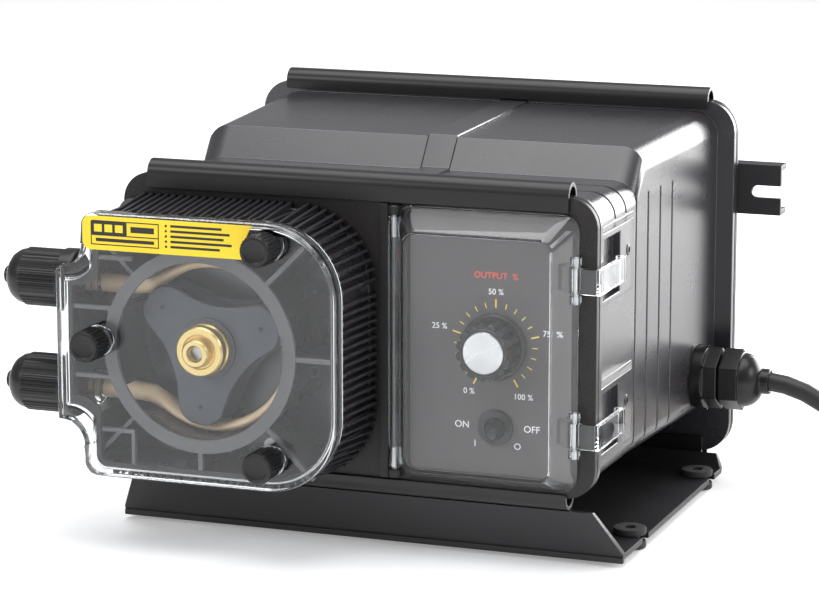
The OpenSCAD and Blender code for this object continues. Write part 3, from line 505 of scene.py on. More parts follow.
def finish(slot):
    """The finish of one material slot of the record"""
    colours = bpy.context.scene.pump_colours
    case, rail, base = tuple(colours.case), tuple(colours.rail), tuple(colours.base)
    makers = {
        "housing_plastic": lambda: solid_finish(
            "case plastic", case, 0.22, bump=0.05, grain=1800, speckle=0.06,
            extra={"Specular IOR Level": 0.85}),
        "panel_black": lambda: solid_finish(
            "panel plastic", tuple(colours.panel), 0.36, grain=1500, bump=0.4, speckle=0.6,
            speckle_colour=(0.045, 0.038, 0.033), extra={"Specular IOR Level": 0.32}),
        "rail_black": lambda: solid_finish(
            "rail plastic", rail, 0.26, bump=0.08, speckle=0.05, extra={"Specular IOR Level": 0.4}),
        "base_grey": lambda: solid_finish(
            "base sheet", base, 0.34, bump=0.15, speckle=0.12, extra={"Specular IOR Level": 0.35}),
        "rubber": lambda: solid_finish("rubber", (0.013, 0.013, 0.014), 0.55, bump=0.35),
        "clear_plastic": lambda: clear_finish("clear polycarbonate"),
        "label_yellow": lambda: solid_finish(
            "label vinyl", tuple(colours.label), 0.25, bump=0.03, grain=700),
        "knob_black": lambda: solid_finish("knob plastic", (0.007, 0.007, 0.0075), 0.26, bump=0.1,
                                           extra={"Specular IOR Level": 0.4}),
        "tube_tan": lambda: solid_finish(
            "pump tube rubber", tuple(colours.tube), 0.38, bump=0.06, grain=600,
            extra={"Subsurface Weight": 0.2, "Subsurface Scale": 0.004}),
        "brass": lambda: solid_finish("brass", tuple(colours.brass), 0.16, 1.0, 900, 0.05),
        "rotor_grey": lambda: solid_finish(
            "rotor plastic", (0.060, 0.066, 0.080), 0.36, bump=0.08, grain=1100, speckle=0.2),
        "roller_black": lambda: solid_finish("roller plastic", (0.016, 0.016, 0.017), 0.32),
        "steel": lambda: solid_finish("steel", (0.55, 0.55, 0.56), 0.22, 1.0, 1600, 0.06),
        "aluminium": lambda: solid_finish(
            "spun aluminium", (0.80, 0.80, 0.81), 0.20, 1.0, 2400, 0.12,
            extra={"Anisotropic": 0.6}),
        "die_cast": lambda: solid_finish("die casting", (0.42, 0.42, 0.43), 0.42, 1.0, 700, 0.5),
        "gear_nylon": lambda: solid_finish("gear nylon", (0.72, 0.64, 0.46), 0.40, grain=900),
        "motor_steel": lambda: solid_finish("motor steel", (0.40, 0.41, 0.42), 0.28, 1.0, 1000, 0.1),
        "copper": lambda: solid_finish("copper winding", (0.80, 0.38, 0.18), 0.30, 1.0, 500, 0.6),
        "board_green": lambda: solid_finish("circuit board", (0.02, 0.14, 0.05), 0.35, grain=800),
        "faceplate": lambda: solid_finish(
            "faceplate", tuple(colours.faceplate), 0.33, bump=0.03, grain=2000, speckle=0.12),
        "cord_black": lambda: solid_finish("cord jacket", (0.017, 0.017, 0.018), 0.42, bump=0.3),
        "plug_black": lambda: solid_finish("plug rubber", (0.015, 0.015, 0.016), 0.45, bump=0.3),
    }
    return makers[slot]()


def print_finish(name, colour):
    """Ink of a printed mark"""
    return solid_finish(name, tuple(colour), 0.45, bump=0.1, grain=900)


# ---------- camera and cord ----------
class PUMP_OT_camera(bpy.types.Operator):
    """Camera that looks at the front from the right and a little above"""

    bl_idname = "pump.camera"
    bl_label = "Camera"

    def execute(self, context):
        right = Vector((0.9367, 0.3502, 0))
        ahead = Vector((-0.3434, 0.9185, -0.1959)).normalized()
        up = right.cross(ahead).normalized()
        data = bpy.data.cameras.new("Camera")
        data.sensor_width = 36
        data.lens = 142.86
        data.clip_end = 50
        camera = bpy.data.objects.new("Camera", data)
        turn = Matrix((right, up, -ahead)).transposed().to_4x4()
        camera.matrix_world = Matrix.Translation((0.5509, -1.5125, 0.4251)) @ turn
        context.collection.objects.link(camera)
        context.scene.camera = camera
        return {"FINISHED"}


def coil_points():
    """Two flat layers of turns: the lower one winds inwards, the upper one back outwards"""
    layer_turns = 960
    rise = 60
    points = []
    for angle in range(0, 2 * layer_turns + rise + 1, 10):
        if angle <= layer_turns:
            radius = COIL_OUTER + (COIL_INNER - COIL_OUTER) * angle / layer_turns
            height = CORD_R
        elif angle < layer_turns + rise:
            radius = COIL_INNER
            share = (angle - layer_turns) / rise
            height = CORD_R + 2 * CORD_R * (3 * share ** 2 - 2 * share ** 3)
        else:
            radius = COIL_INNER + (COIL_OUTER - COIL_INNER) * (angle - layer_turns - rise) / layer_turns
            height = 3 * CORD_R
        turn = math.radians(angle - 90)
        points.append((COIL_X + radius * math.cos(turn), COIL_Y + radius * math.sin(turn), height))
    return points


class PUMP_OT_cord(bpy.types.Operator):
    """Power cord, coiled outside the view, with its tie and plug"""

    bl_idname = "pump.cord"
    bl_label = "Power cord"

    def execute(self, context):
        places = [*CORD_ROUTE, *coil_points(), *PLUG_ROUTE]
        points = [[c * MM for c in place] for place in places]
        curve = round_line("power_cord_line", points, CORD_R * MM, 5)
        curve.splines[0].use_smooth = True
        cord = bpy.data.objects.new("power_cord_line", curve)
        context.collection.objects.link(cord)
        curve.materials.append(finish("cord_black"))
        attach(cord, "pump_body")
        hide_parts("power_cord", "cord_coil")
        tie = finish_piece("cord_tie", refined("coil_tie", 0.5), "rubber", "pump_body", "coil_tie")
        pins = finish_piece("plug_pins", self.pins(), "brass", "pump_body")
        body = finish_piece("plug_body", self.body(), "plug_black", "pump_body", "plug")
        length = sum((Vector(b) - Vector(a)).length for a, b in zip(places, places[1:])) * MM
        if abs(length - context.scene.pump_sizes.cord_length) > CORD_SLACK:
            raise RuntimeError("the cord's route and its stated length disagree")
        return {"FINISHED"}

    def plug_middle(self):
        """Depth of the plug's middle, in millimetres"""
        low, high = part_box("plug")
        return (low.y + high.y) / 2 / MM

    def body(self):
        """Moulded plug body that narrows into a grooved strain relief"""
        centre_y = self.plug_middle()
        bm = slab(rectangle(185, 209, 0.2, 27), [5, 5, 5, 5], centre_y - 12, centre_y + 12, 2, 3)
        add_to(bm, lathe([(0, 0), (7, 0), (7, 2), (6.2, 2.6), (6.2, 3.4), (6.8, 4), (6.4, 6), (0, 6)],
                         "x", (209, centre_y, 14), 32, 0.3))
        return bm

    def pins(self):
        """Two blades and the round ground pin"""
        centre_y = self.plug_middle()
        bm = lathe([(0, 0), (1.6, 0), (2.4, 1.2), (2.4, 20.5), (0, 20.5)], "x",
                   (165, centre_y, 5), 24, 0.2)
        for side in (-1, 1):
            y = centre_y + side * 6.35
            add_to(bm, block((167, y - 0.75, 13), (185.5, y + 0.75, 19.3), 0.3))
        return bm


# ---------- case ----------
class PUMP_OT_case(bpy.types.Operator):
    """Grooved case, its panels and clamp rails, and the screw heads behind the latch pockets"""

    bl_idname = "pump.case"
    bl_label = "Case"

    def execute(self, context):
        sizes = context.scene.pump_sizes
        edge, sheet = sizes.edge / MM, sizes.sheet_edge / MM
        refined_piece("main_housing", "case", "housing_plastic", edge)
        refined_piece("front_panel", "front_panel_moulding", "panel_black", edge)
        refined_piece("rear_panel", "rear_panel_moulding", "panel_black", edge)
        for node in ("front_top_rail", "front_bottom_rail", "rear_top_rail", "rear_bottom_rail"):
            refined_piece(node, node + "_extrusion", "rail_black", sheet)
        finish_piece("pocket_screws", self.screws(), "knob_black", "pump_body")
        return {"FINISHED"}

    def screws(self):
        """Round screw heads behind the latch pockets"""
        bm = bmesh.new()
        for z in LATCH_HEIGHTS:
            add_to(bm, lathe([(0, 0), (3.4, 0), (3.4, 0.8), (2.6, 1.6), (1.4, 1.8), (1.2, 0.9), (0, 0.9)],
                             "x", (118.2, -64, z + 6), 32, 0.1))
        return bm


class PUMP_OT_base(bpy.types.Operator):
    """Folded base sheet, rubber feet, and the wall bracket with its screws"""

    bl_idname = "pump.base"
    bl_label = "Base"

    def execute(self, context):
        sheet = context.scene.pump_sizes.sheet_edge / MM
        refined_piece("mounting_base", "base_sheet", "base_grey", sheet)
        refined_piece("wall_bracket", "bracket_sheet", "base_grey", sheet)
        finish_piece("feet", self.feet(), "rubber", "pump_body", "rubber_feet")
        finish_piece("bracket_screw_heads", self.screws(), "steel", "pump_body", "bracket_screws")
        return {"FINISHED"}

    def feet(self):
        """Grommet feet: a lower disc, a neck and an upper disc round one hole"""
        profile = [(2.75, 0), (8, 0), (8, 3.4), (5, 3.4), (5, 6.6), (8, 6.6), (8, 10), (2.75, 10)]
        bm = bmesh.new()
        for x in (-121, 121):
            for y in (-60, 60):
                add_to(bm, lathe(profile, "z", (x, y, 0), 48, 0.6))
        return bm

    def screws(self):
        """Pan heads with a cross recess"""
        bm = bmesh.new()
        for x in (-100, -40, 40, 100):
            add_to(bm, lathe([(0, 0), (4.2, 0), (4.1, 1.2), (3.2, 2.2), (1.3, 2.4), (1.0, 1.3), (0, 1.3)],
                             "y", (x, 98.5, 151), 32, 0.1))
        return bm


class PUMP_OT_gland(bpy.types.Operator):
    """Cord gland: flange, hexagons, slotted dome and the lip round the cord"""

    bl_idname = "pump.gland"
    bl_label = "Cord gland"

    def execute(self, context):
        refined_piece("gland_body", "gland_flange", "knob_black", 0.7, steps=3)
        refined_piece("gland_nut", "gland_dome_nut", "knob_black", 0.7, steps=3)
        return {"FINISHED"}


# ---------- pump head ----------
class PUMP_OT_head(bpy.types.Operator):
    """Head housing with its fine ribs, the clear cover, the label and the thumb screws"""

    bl_idname = "pump.head"
    bl_label = "Pump head"

    def execute(self, context):
        sizes = context.scene.pump_sizes
        refined_piece("head_housing", "head_shell", "housing_plastic", 0.35)
        finish_piece("head_ribs", self.ribs(sizes.rib_pitch / MM), "housing_plastic", "pump_body")
        # The race rim and rib tops get a lighter grey than the case plastic: a painted highlight for the
        # light they catch
        finish_piece("race_ring", self.ring(), "housing_plastic", "pump_body",
                     look=solid_finish("race plastic", (0.105, 0.10, 0.105), 0.30, speckle=0.1))
        finish_piece("clear_head_cover", refined("head_cover", 1.1, 3, mark=1), "clear_plastic", "pump_body",
                     "head_cover", edge_look=lit_edge_finish())
        finish_piece("label", self.label(), "label_yellow", "pump_body", "head_label")
        finish_piece("label_print", self.label_print(), "label_yellow", "pump_body",
                     look=print_finish("label ink", (0.015, 0.014, 0.012)))
        finish_piece("label_print_light", self.label_light(), "label_yellow", "pump_body")
        for name, (x, z) in THUMBS.items():
            self.thumb_screw(name, x, z, sizes.thumb_flutes)
        return {"FINISHED"}

    def ribs(self, pitch):
        """Fine ribs along the top, the round corners, the right side and the bottom"""
        bm = bmesh.new()
        places = []
        for n in range(int(80 / pitch) + 1):
            x = -108 + n * pitch
            places += [(x, 162.8, 90), (x, 39.9, -90)]
        for n in range(int(54 / pitch) + 1):
            places.append((6.7, 74 + n * pitch, 0))
        for n in range(1, 13):
            angle = n * 7
            for z, side in ((129, 1), (73.7, -1)):
                turn = math.radians(side * angle)
                places.append((-27.1 + 33.8 * math.cos(turn), z + 33.8 * math.sin(turn), side * angle))
        for x, z, angle in places:
            rib = block((-1.2, -148.6, -0.75), (1.7, -113.2, 0.75), 0.3, 1)
            rear = [v for v in rib.verts if v.co.y > -120 and v.co.x > 0]
            bmesh.ops.translate(rib, vec=(3.4, 0, 0), verts=rear)
            bmesh.ops.rotate(rib, matrix=Matrix.Rotation(-math.radians(angle), 3, "Y"), verts=rib.verts)
            bmesh.ops.translate(rib, vec=(x, 0, z), verts=rib.verts)
            add_to(bm, rib)
        return bm

    def ring(self):
        """Smooth rim of the race, with the tops of the ribs that hold it"""
        bm = lathe([(42.6, 0), (49.0, 0), (49.0, 2.0), (48.2, 2.6), (43.9, 2.6), (42.6, 1.6)],
                   "y", (ROTOR[0], -149.4, ROTOR[1]), 128, 0.15)
        for angle, reach in ((0, 70), (45, 81), (-45, 81), (-90, 59), (90, 61.5), (180, 66)):
            rib = block((48.4, -149.0, -1.2), (reach, -146.6, 1.2), 0.3)
            bmesh.ops.rotate(rib, matrix=Matrix.Rotation(-math.radians(angle), 3, "Y"), verts=rib.verts)
            bmesh.ops.translate(rib, vec=(ROTOR[0], 0, ROTOR[1]), verts=rib.verts)
            add_to(bm, rib)
        for x0, x1, z0, z1 in ((-130, -109, 116.6, 118.6), (-130, -109, 83.2, 85.2), (-111, -109, 85, 117),
                               (-117, -98, 57.5, 59.5), (-99.8, -97.8, 42, 58), (-117, -98, 141, 143)):
            add_to(bm, block((x0, -149.0, z0), (x1, -146.6, z1), 0.3))
        return bm

    def label(self):
        """Yellow label with round corners, cut away round the thumb screw"""
        corners = [(-119, 147.5), (-36.2, 147.5), (-37, 153), (-34.6, 160.5), (-32.2, 163.6), (-119, 163.6)]
        return slab(corners, [4, 1, 6, 4, 0.6, 4], HEAD_FACE - 0.35, HEAD_FACE - 0.02, 0.1, 1)

    def label_print(self):
        """Plain dark block, rules and lines that fill the label"""
        face, back = HEAD_FACE - 0.42, HEAD_FACE - 0.34
        bm = slab(rectangle(-114.6, -96.0, 154.4, 161.6), [1] * 4, face, back)
        for z0, z1 in ((154.4, 154.9), (161.1, 161.6), (149.9, 150.4)):
            add_to(bm, block((-96.5, face, z0), (-79.5, back, z1)))
        add_to(bm, block((-80.0, face, 150), (-79.5, back, 161.4)))
        add_to(bm, block((-114.6, face, 149.9), (-114.1, back, 155)))
        add_to(bm, block((-114.6, face, 149.9), (-96, back, 150.4)))
        add_to(bm, block((-94, face, 156.6), (-82, back, 159.4)))
        add_to(bm, block((-112, face, 151.6), (-82, back, 153.2)))
        for n, width in enumerate((26, 30, 27, 31, 25)):
            z = 160.4 - n * 2.45
            add_to(bm, block((-73.6, face, z), (-73.6 + width, back, z + 1.15)))
            add_to(bm, lathe([(0, 0), (0.62, 0), (0.62, 0.08), (0, 0.08)], "y",
                             (-75.9, face, z + 0.55), 12))
        return bm

    def label_light(self):
        """Three yellow squares left open in the dark block"""
        face, back = HEAD_FACE - 0.47, HEAD_FACE - 0.41
        bm = bmesh.new()
        for n in range(3):
            add_to(bm, block((-112.8 + n * 5.4, face, 156.2), (-108.8 + n * 5.4, back, 159.8)))
        return bm

    def thumb_screw(self, name, x, z, flutes):
        """Fluted black head with a dished face, and the collar under it"""
        bm = fluted(7.75, 0.55, flutes, 12.0, "y", (x, -171.3, z), 0.5)
        add_to(bm, lathe([(0, 0.5), (4.6, 0.5), (5.6, 0), (6.9, 0.1), (7.3, 1.0), (7.3, 2.0), (0, 2.0)],
                         "y", (x, -172.7, z), 64, 0.15))
        add_to(bm, lathe([(0, 0), (7.2, 0), (6.6, 1.1), (2.5, 1.1), (2.5, 27), (0, 27)], "y",
                         (x, -159.5 - 0.9, z), 48, 0.1))
        finish_piece("thumb_knob_" + name, bm, "knob_black", "screw_" + name, "thumb_screw_" + name)


class PUMP_OT_tube(bpy.types.Operator):
    """Pump tube with its adapters and compression nuts"""

    bl_idname = "pump.tube"
    bl_label = "Tube and nuts"

    def execute(self, context):
        finish_piece("hose", self.hose(), "tube_tan", "pump_body", "pump_tube", angle=60)
        finish_piece("adapters", self.adapters(), "clear_plastic", "pump_body", "tube_adapters")
        flutes = context.scene.pump_sizes.nut_flutes
        for name, side in (("discharge", 1), ("suction", -1)):
            finish_piece(name + "_cap", self.nut(ROTOR[1] + side * PORT_RISE, flutes), "knob_black",
                         "nut_" + name, name + "_nut")
        return {"FINISHED"}

    def hose(self):
        """Round at the ports, squeezed to an oval where it lies in the race"""
        line, start = 39.7, 120
        x, z = ROTOR
        points = [(-132, TUBE_Y, z + PORT_RISE)]
        points += [(-132 + n * 5.5, TUBE_Y, z + PORT_RISE) for n in range(1, 6)]
        begin = (x + line * math.cos(math.radians(start)), z + line * math.sin(math.radians(start)))
        for n in range(1, 6):
            share = n / 6
            points.append((-100 + (begin[0] + 100) * share, TUBE_Y,
                           z + PORT_RISE + (begin[1] - z - PORT_RISE) * share ** 1.25))
        for angle in range(start, -1, -5):
            turn = math.radians(angle)
            points.append((x + line * math.cos(turn), TUBE_Y, z + line * math.sin(turn)))
        lower = [(p[0], p[1], 2 * z - p[2]) for p in points[:-1]]
        bm = curve_shape(round_line("hose_line", points + lower[::-1], 4.6, 6))
        for vert in bm.verts:
            side = Vector((vert.co.x - x, 0, vert.co.z - z))
            share = min(1, max(0, (vert.co.x + 100) / 16))
            if share > 0 and side.length > 1:
                flat = line + (side.length - line) * (1 - 0.41 * share)
                side *= flat / side.length
                vert.co.x, vert.co.z = x + side.x, z + side.z
                vert.co.y = TUBE_Y + (vert.co.y - TUBE_Y) * (1 + 0.40 * share)
        return bm

    def adapters(self):
        """Stepped sleeves that hold the tube ends at the ports"""
        bm = bmesh.new()
        profile = [(3.2, 0), (7, 0), (7, 30), (9, 30), (9, 33), (7.4, 33), (7.4, 34.5), (8.6, 34.5),
                   (8.6, 36.5), (4.75, 36.5), (4.75, 28), (3.2, 28)]
        for side in (-1, 1):
            add_to(bm, lathe(profile, "x", (-158.5, TUBE_Y, ROTOR[1] + side * PORT_RISE), 48, 0.3))
        return bm

    def nut(self, z, flutes):
        """Fluted body, plain collar, domed end and a short nose"""
        bm = fluted(14.2, 0.6, flutes, 24.0, "x", (-163, TUBE_Y, z), 0.3)
        add_to(bm, lathe([(7.2, 0), (15.0, 0), (15.0, 6.5), (14.0, 8), (7.2, 8)], "x",
                         (-143, TUBE_Y, z), 72, 0.5))
        dome = [(3.2, -12), (4.2, -12), (4.2, -9.2), (5.4, -9), (8.6, -8.2), (11.2, -6.3), (13.0, -3.4),
                (13.6, -0.4), (13.6, 1), (7.2, 1), (7.2, 0), (3.2, 0)]
        add_to(bm, lathe(dome, "x", (-163, TUBE_Y, z), 72, 0.3))
        return bm


class PUMP_OT_rotor(bpy.types.Operator):
    """Three-lobed rotor plates, rollers, pins and hub nut"""

    bl_idname = "pump.rotor"
    bl_label = "Rotor"

    def execute(self, context):
        finish_piece("lobed_front", self.plate(ROTOR_FACE, 0.8), "rotor_grey", "rotor", "rotor_front_plate")
        finish_piece("lobed_rear", self.plate(-121, 0.5), "rotor_grey", "rotor", "rotor_rear_plate")
        finish_piece("pin_rods", self.pins(), "steel", "rotor", "roller_pins")
        finish_piece("pin_dimples", self.dimples(), "roller_black", "rotor")
        finish_piece("brass_hub", self.hub(), "brass", "rotor", "hub_nut")
        for n, body in enumerate(("roller_a", "roller_b", "roller_c")):
            x, z = self.lobe(n, PIN_CIRCLE)
            bm = lathe([(2.56, 0), (6.6, 0), (7, 0.6), (7, 13.8), (6.6, 14.4), (2.56, 14.4)], "y",
                       (x, -135.7, z), 64, 0.15)
            finish_piece("roller_drum_" + "abc"[n], bm, "roller_black", body, "roller_" + str(n + 1))
        return {"FINISHED"}

    def lobe(self, n, radius, shift=0.0):
        """A place on one lobe, at a radius and turned on by some degrees"""
        turn = math.radians(FIRST_LOBE + 120 * n + shift)
        return ROTOR[0] + radius * math.cos(turn), ROTOR[1] + radius * math.sin(turn)

    def plate(self, front, width):
        """Round lobes joined by hollow sides, with a raised boss in the middle"""
        corners, rounding = [], []
        for n in range(3):
            corners += [self.lobe(n, 39.4, -14.6), self.lobe(n, 39.4, 14.6), self.lobe(n, 18.5, 60)]
            rounding += [8.2, 8.2, 13]
        bm = slab(corners, rounding, front, front + 3, width, 3)
        add_to(bm, lathe([(5.1, 0), (14.6, 0), (14.6, 1.2), (5.1, 1.2)], "y",
                         (ROTOR[0], front - 1.0, ROTOR[1]), 64, 0.4))
        return bm

    def pins(self):
        """Steel pins between the two plates"""
        bm = bmesh.new()
        for n in range(3):
            x, z = self.lobe(n, PIN_CIRCLE)
            add_to(bm, lathe([(0, 0), (2.5, 0), (2.5, 20), (0, 20)], "y", (x, -138.8, z), 32, 0.1))
        return bm

    def dimples(self):
        """Small dark centre marks over the pins"""
        bm = bmesh.new()
        for n in range(3):
            x, z = self.lobe(n, PIN_CIRCLE)
            add_to(bm, lathe([(0, 0.1), (0.9, 0), (1.2, 0.15), (1.2, 0.4), (0, 0.4)], "y",
                             (x, -139.12, z), 24))
        return bm

    def hub(self):
        """Turned nut: wide ring, groove, narrower ring and a hollow nose"""
        profile = [(5.05, 0), (12.0, 0), (12.3, 0.5), (12.3, 3.2), (11.4, 4.0), (11.4, 5.2), (12.1, 5.9),
                   (12.1, 9.4), (11.2, 10.5), (8.4, 10.5), (8.0, 9.6), (7.2, 9.6), (6.8, 10.4),
                   (6.8, 14.6), (6.0, 15.6), (4.2, 15.6), (3.6, 14.6), (3.4, 11.5), (5.05, 11.5)]
        return lathe([(r, -h) for r, h in profile], "y", (ROTOR[0], ROTOR_FACE, ROTOR[1]), 96, 0.12)


# ---------- inner pieces that keep their frame shapes ----------
class PUMP_OT_inner(bpy.types.Operator):
    """Finishes of the drive, the board and the other inner pieces"""

    bl_idname = "pump.inner"
    bl_label = "Inner pieces"

    def execute(self, context):
        slots = {row["node"]: row["material_slot"] for row in frame["record"]["subparts"]}
        for name, node in NODES.items():
            for place in node.material_slots:
                place.material = finish(slots[name])
            if not node.material_slots:
                node.data.materials.append(finish(slots[name]))
        return {"FINISHED"}


# ---------- controls ----------
class PUMP_OT_controls(bpy.types.Operator):
    """Faceplate with its printed scale, the speed knob and the toggle switch"""

    bl_idname = "pump.controls"
    bl_label = "Controls"

    def execute(self, context):
        colours = context.scene.pump_colours
        sizes = context.scene.pump_sizes
        refined_piece("control_faceplate", "faceplate_sheet", "faceplate", 0.15)
        inks = (("scale_marks", self.ticks(), colours.print_yellow),
                ("scale_numbers", self.numbers(), colours.print_white),
                ("switch_words", self.switch_words(), colours.print_white),
                ("scale_heading", words("OUTPUT  %", 4.2, 70, INK_Y, 138.5), colours.print_red))
        for name, bm, colour in inks:
            finish_piece(name, bm, "faceplate", "pump_body", look=print_finish(name + " ink", colour))
        finish_piece("knob_body", self.knob(sizes.knob_flutes), "knob_black", "knob", "speed_knob")
        finish_piece("knob_disc", self.disc(), "aluminium", "knob", "knob_cap", look=spun_finish())
        finish_piece("knob_pointer", self.pointer(), "knob_black", "knob",
                     look=print_finish("pointer ink", colours.print_white))
        refined_piece("switch_body", "switch_bushing", "knob_black", 0.25)
        finish_piece("toggle_boot", self.toggle(), "knob_black", "toggle", "switch_lever")
        return {"FINISHED"}

    def ticks(self):
        """Long and short marks every fifteen degrees round the knob"""
        bm = bmesh.new()
        for n in range(21):
            angle = math.radians(240 - 15 * n)
            long_mark = n % 5 == 0
            mark = block((18.0, INK_Y, -0.36 if long_mark else -0.24),
                         (22.0 if long_mark else 20.6, FACEPLATE_Y + 0.05, 0.36 if long_mark else 0.24))
            bmesh.ops.rotate(mark, matrix=Matrix.Rotation(-angle, 3, "Y"), verts=mark.verts)
            bmesh.ops.translate(mark, vec=(KNOB[0], 0, KNOB[1]), verts=mark.verts)
            add_to(bm, mark)
        return bm

    def numbers(self):
        """Percent numbers beside the long marks"""
        bm = bmesh.new()
        places = (("0 %", 240, 26.2), ("25 %", 165, 28.8), ("50 %", 90, 25.4), ("75 %", 15, 27.8),
                  ("100 %", -60, 27.4))
        for text, angle, radius in places:
            turn = math.radians(angle)
            add_to(bm, words(text, 3.9, KNOB[0] + radius * math.cos(turn), INK_Y,
                             KNOB[1] + radius * math.sin(turn)))
        return bm

    def switch_words(self):
        """ON and OFF beside the switch, I and O below them"""
        bm = bmesh.new()
        for text, x, z, size in (("ON", 53.5, 66.5, 4.6), ("OFF", 88, 66.5, 4.6), ("I", 60, 57.8, 4.4),
                                 ("O", 81, 57.8, 4.4)):
            add_to(bm, words(text, size, x, INK_Y, z))
        return bm

    def knob(self, flutes):
        """Skirt, then a fluted grip with a rounded front"""
        bm = lathe([(0, 0), (14.9, 0), (15.8, 0.8), (15.8, 3), (3.3, 3), (3.3, 2.6), (0, 2.6)], "y",
                   (KNOB[0], -116, KNOB[1]), 96, 0.3)
        add_to(bm, fluted(13.8, 1.7, flutes, 12.6, "y", (KNOB[0], -128.6, KNOB[1]), 0.9, (3,)))
        add_to(bm, lathe([(10.1, 0), (10.9, 0), (11.4, 0.8), (11.4, 1.6), (10.1, 1.6)], "y",
                         (KNOB[0], -129.5, KNOB[1]), 72, 0.2))
        add_to(bm, lathe([(0, 0), (3.1, 0), (3.1, 5), (0, 5)], "y", (KNOB[0], -117, KNOB[1]), 32))
        return bm

    def disc(self):
        """Turned metal disc with a shallow step round its rim"""
        return lathe([(0, 0.15), (8.6, 0.15), (8.9, 0), (9.6, 0), (9.95, 0.35), (9.95, 1.6), (0, 1.6)],
                     "y", (KNOB[0], -129.62, KNOB[1]), 96, 0.06)

    def pointer(self):
        """White line on the skirt, and its thin continuation across the disc"""
        bm = block((11.8, -116.25, -0.45), (15.4, -115.9, 0.45), 0.08, 1)
        add_to(bm, block((-9.2, -129.72, -0.22), (9.7, -129.3, 0.22), 0.05, 1))
        bmesh.ops.rotate(bm, matrix=Matrix.Rotation(-math.radians(KNOB_REST), 3, "Y"), verts=bm.verts)
        bmesh.ops.translate(bm, vec=(KNOB[0], 0, KNOB[1]), verts=bm.verts)
        return bm

    def toggle(self):
        """Rubber boot with soft rings over the lever, leaning to the right"""
        profile = [(0, -4.2), (4.4, -4.2), (4.9, -2.5), (4.9, 0.2), (4.2, 1.2), (4.5, 2.2), (3.8, 3.2),
                   (4.0, 4.2), (3.5, 5.2), (3.45, 9), (3.1, 13), (2.9, 14.6), (2.1, 15.7), (0, 16)]
        bm = lathe(profile, "z", (0, 0, 0), 48, 0.25)
        bmesh.ops.rotate(bm, matrix=Matrix.Rotation(math.pi / 2, 3, "X"), verts=bm.verts)
        bmesh.ops.rotate(bm, matrix=Matrix.Rotation(math.radians(12), 3, "Z"), verts=bm.verts)
        bmesh.ops.translate(bm, vec=(SWITCH[0], -112.6, SWITCH[1]), verts=bm.verts)
        return bm


def spun_finish():
    """Aluminium with fine turned rings centred on the knob"""
    name = "turned aluminium"
    if name in bpy.data.materials:
        return bpy.data.materials[name]
    material = bpy.data.materials.new(name)
    material.use_nodes = True
    tree = material.node_tree
    shader = tree.nodes["Principled BSDF"]
    shader.inputs["Metallic"].default_value = 1.0
    shader.inputs["Base Color"].default_value = (0.66, 0.65, 0.65, 1)
    place = tree.nodes.new("ShaderNodeTexCoord")
    centre = tree.nodes.new("ShaderNodeMapping")
    centre.inputs["Location"].default_value = (-KNOB[0] * MM, 0, -KNOB[1] * MM)
    rings = tree.nodes.new("ShaderNodeTexWave")
    rings.wave_type = "RINGS"
    rings.rings_direction = "Y"
    rings.inputs["Scale"].default_value = 520
    rings.inputs["Distortion"].default_value = 0.6
    rough = tree.nodes.new("ShaderNodeMapRange")
    rough.inputs["To Min"].default_value = 0.16
    rough.inputs["To Max"].default_value = 0.34
    bump = tree.nodes.new("ShaderNodeBump")
    bump.inputs["Strength"].default_value = 0.25
    bump.inputs["Distance"].default_value = 0.0001
    tree.links.new(place.outputs["Object"], centre.inputs["Vector"])
    tree.links.new(centre.outputs["Vector"], rings.inputs["Vector"])
    tree.links.new(rings.outputs["Fac"], rough.inputs["Value"])
    tree.links.new(rings.outputs["Fac"], bump.inputs["Height"])
    tree.links.new(rough.outputs["Result"], shader.inputs["Roughness"])
    tree.links.new(bump.outputs["Normal"], shader.inputs["Normal"])
    return material


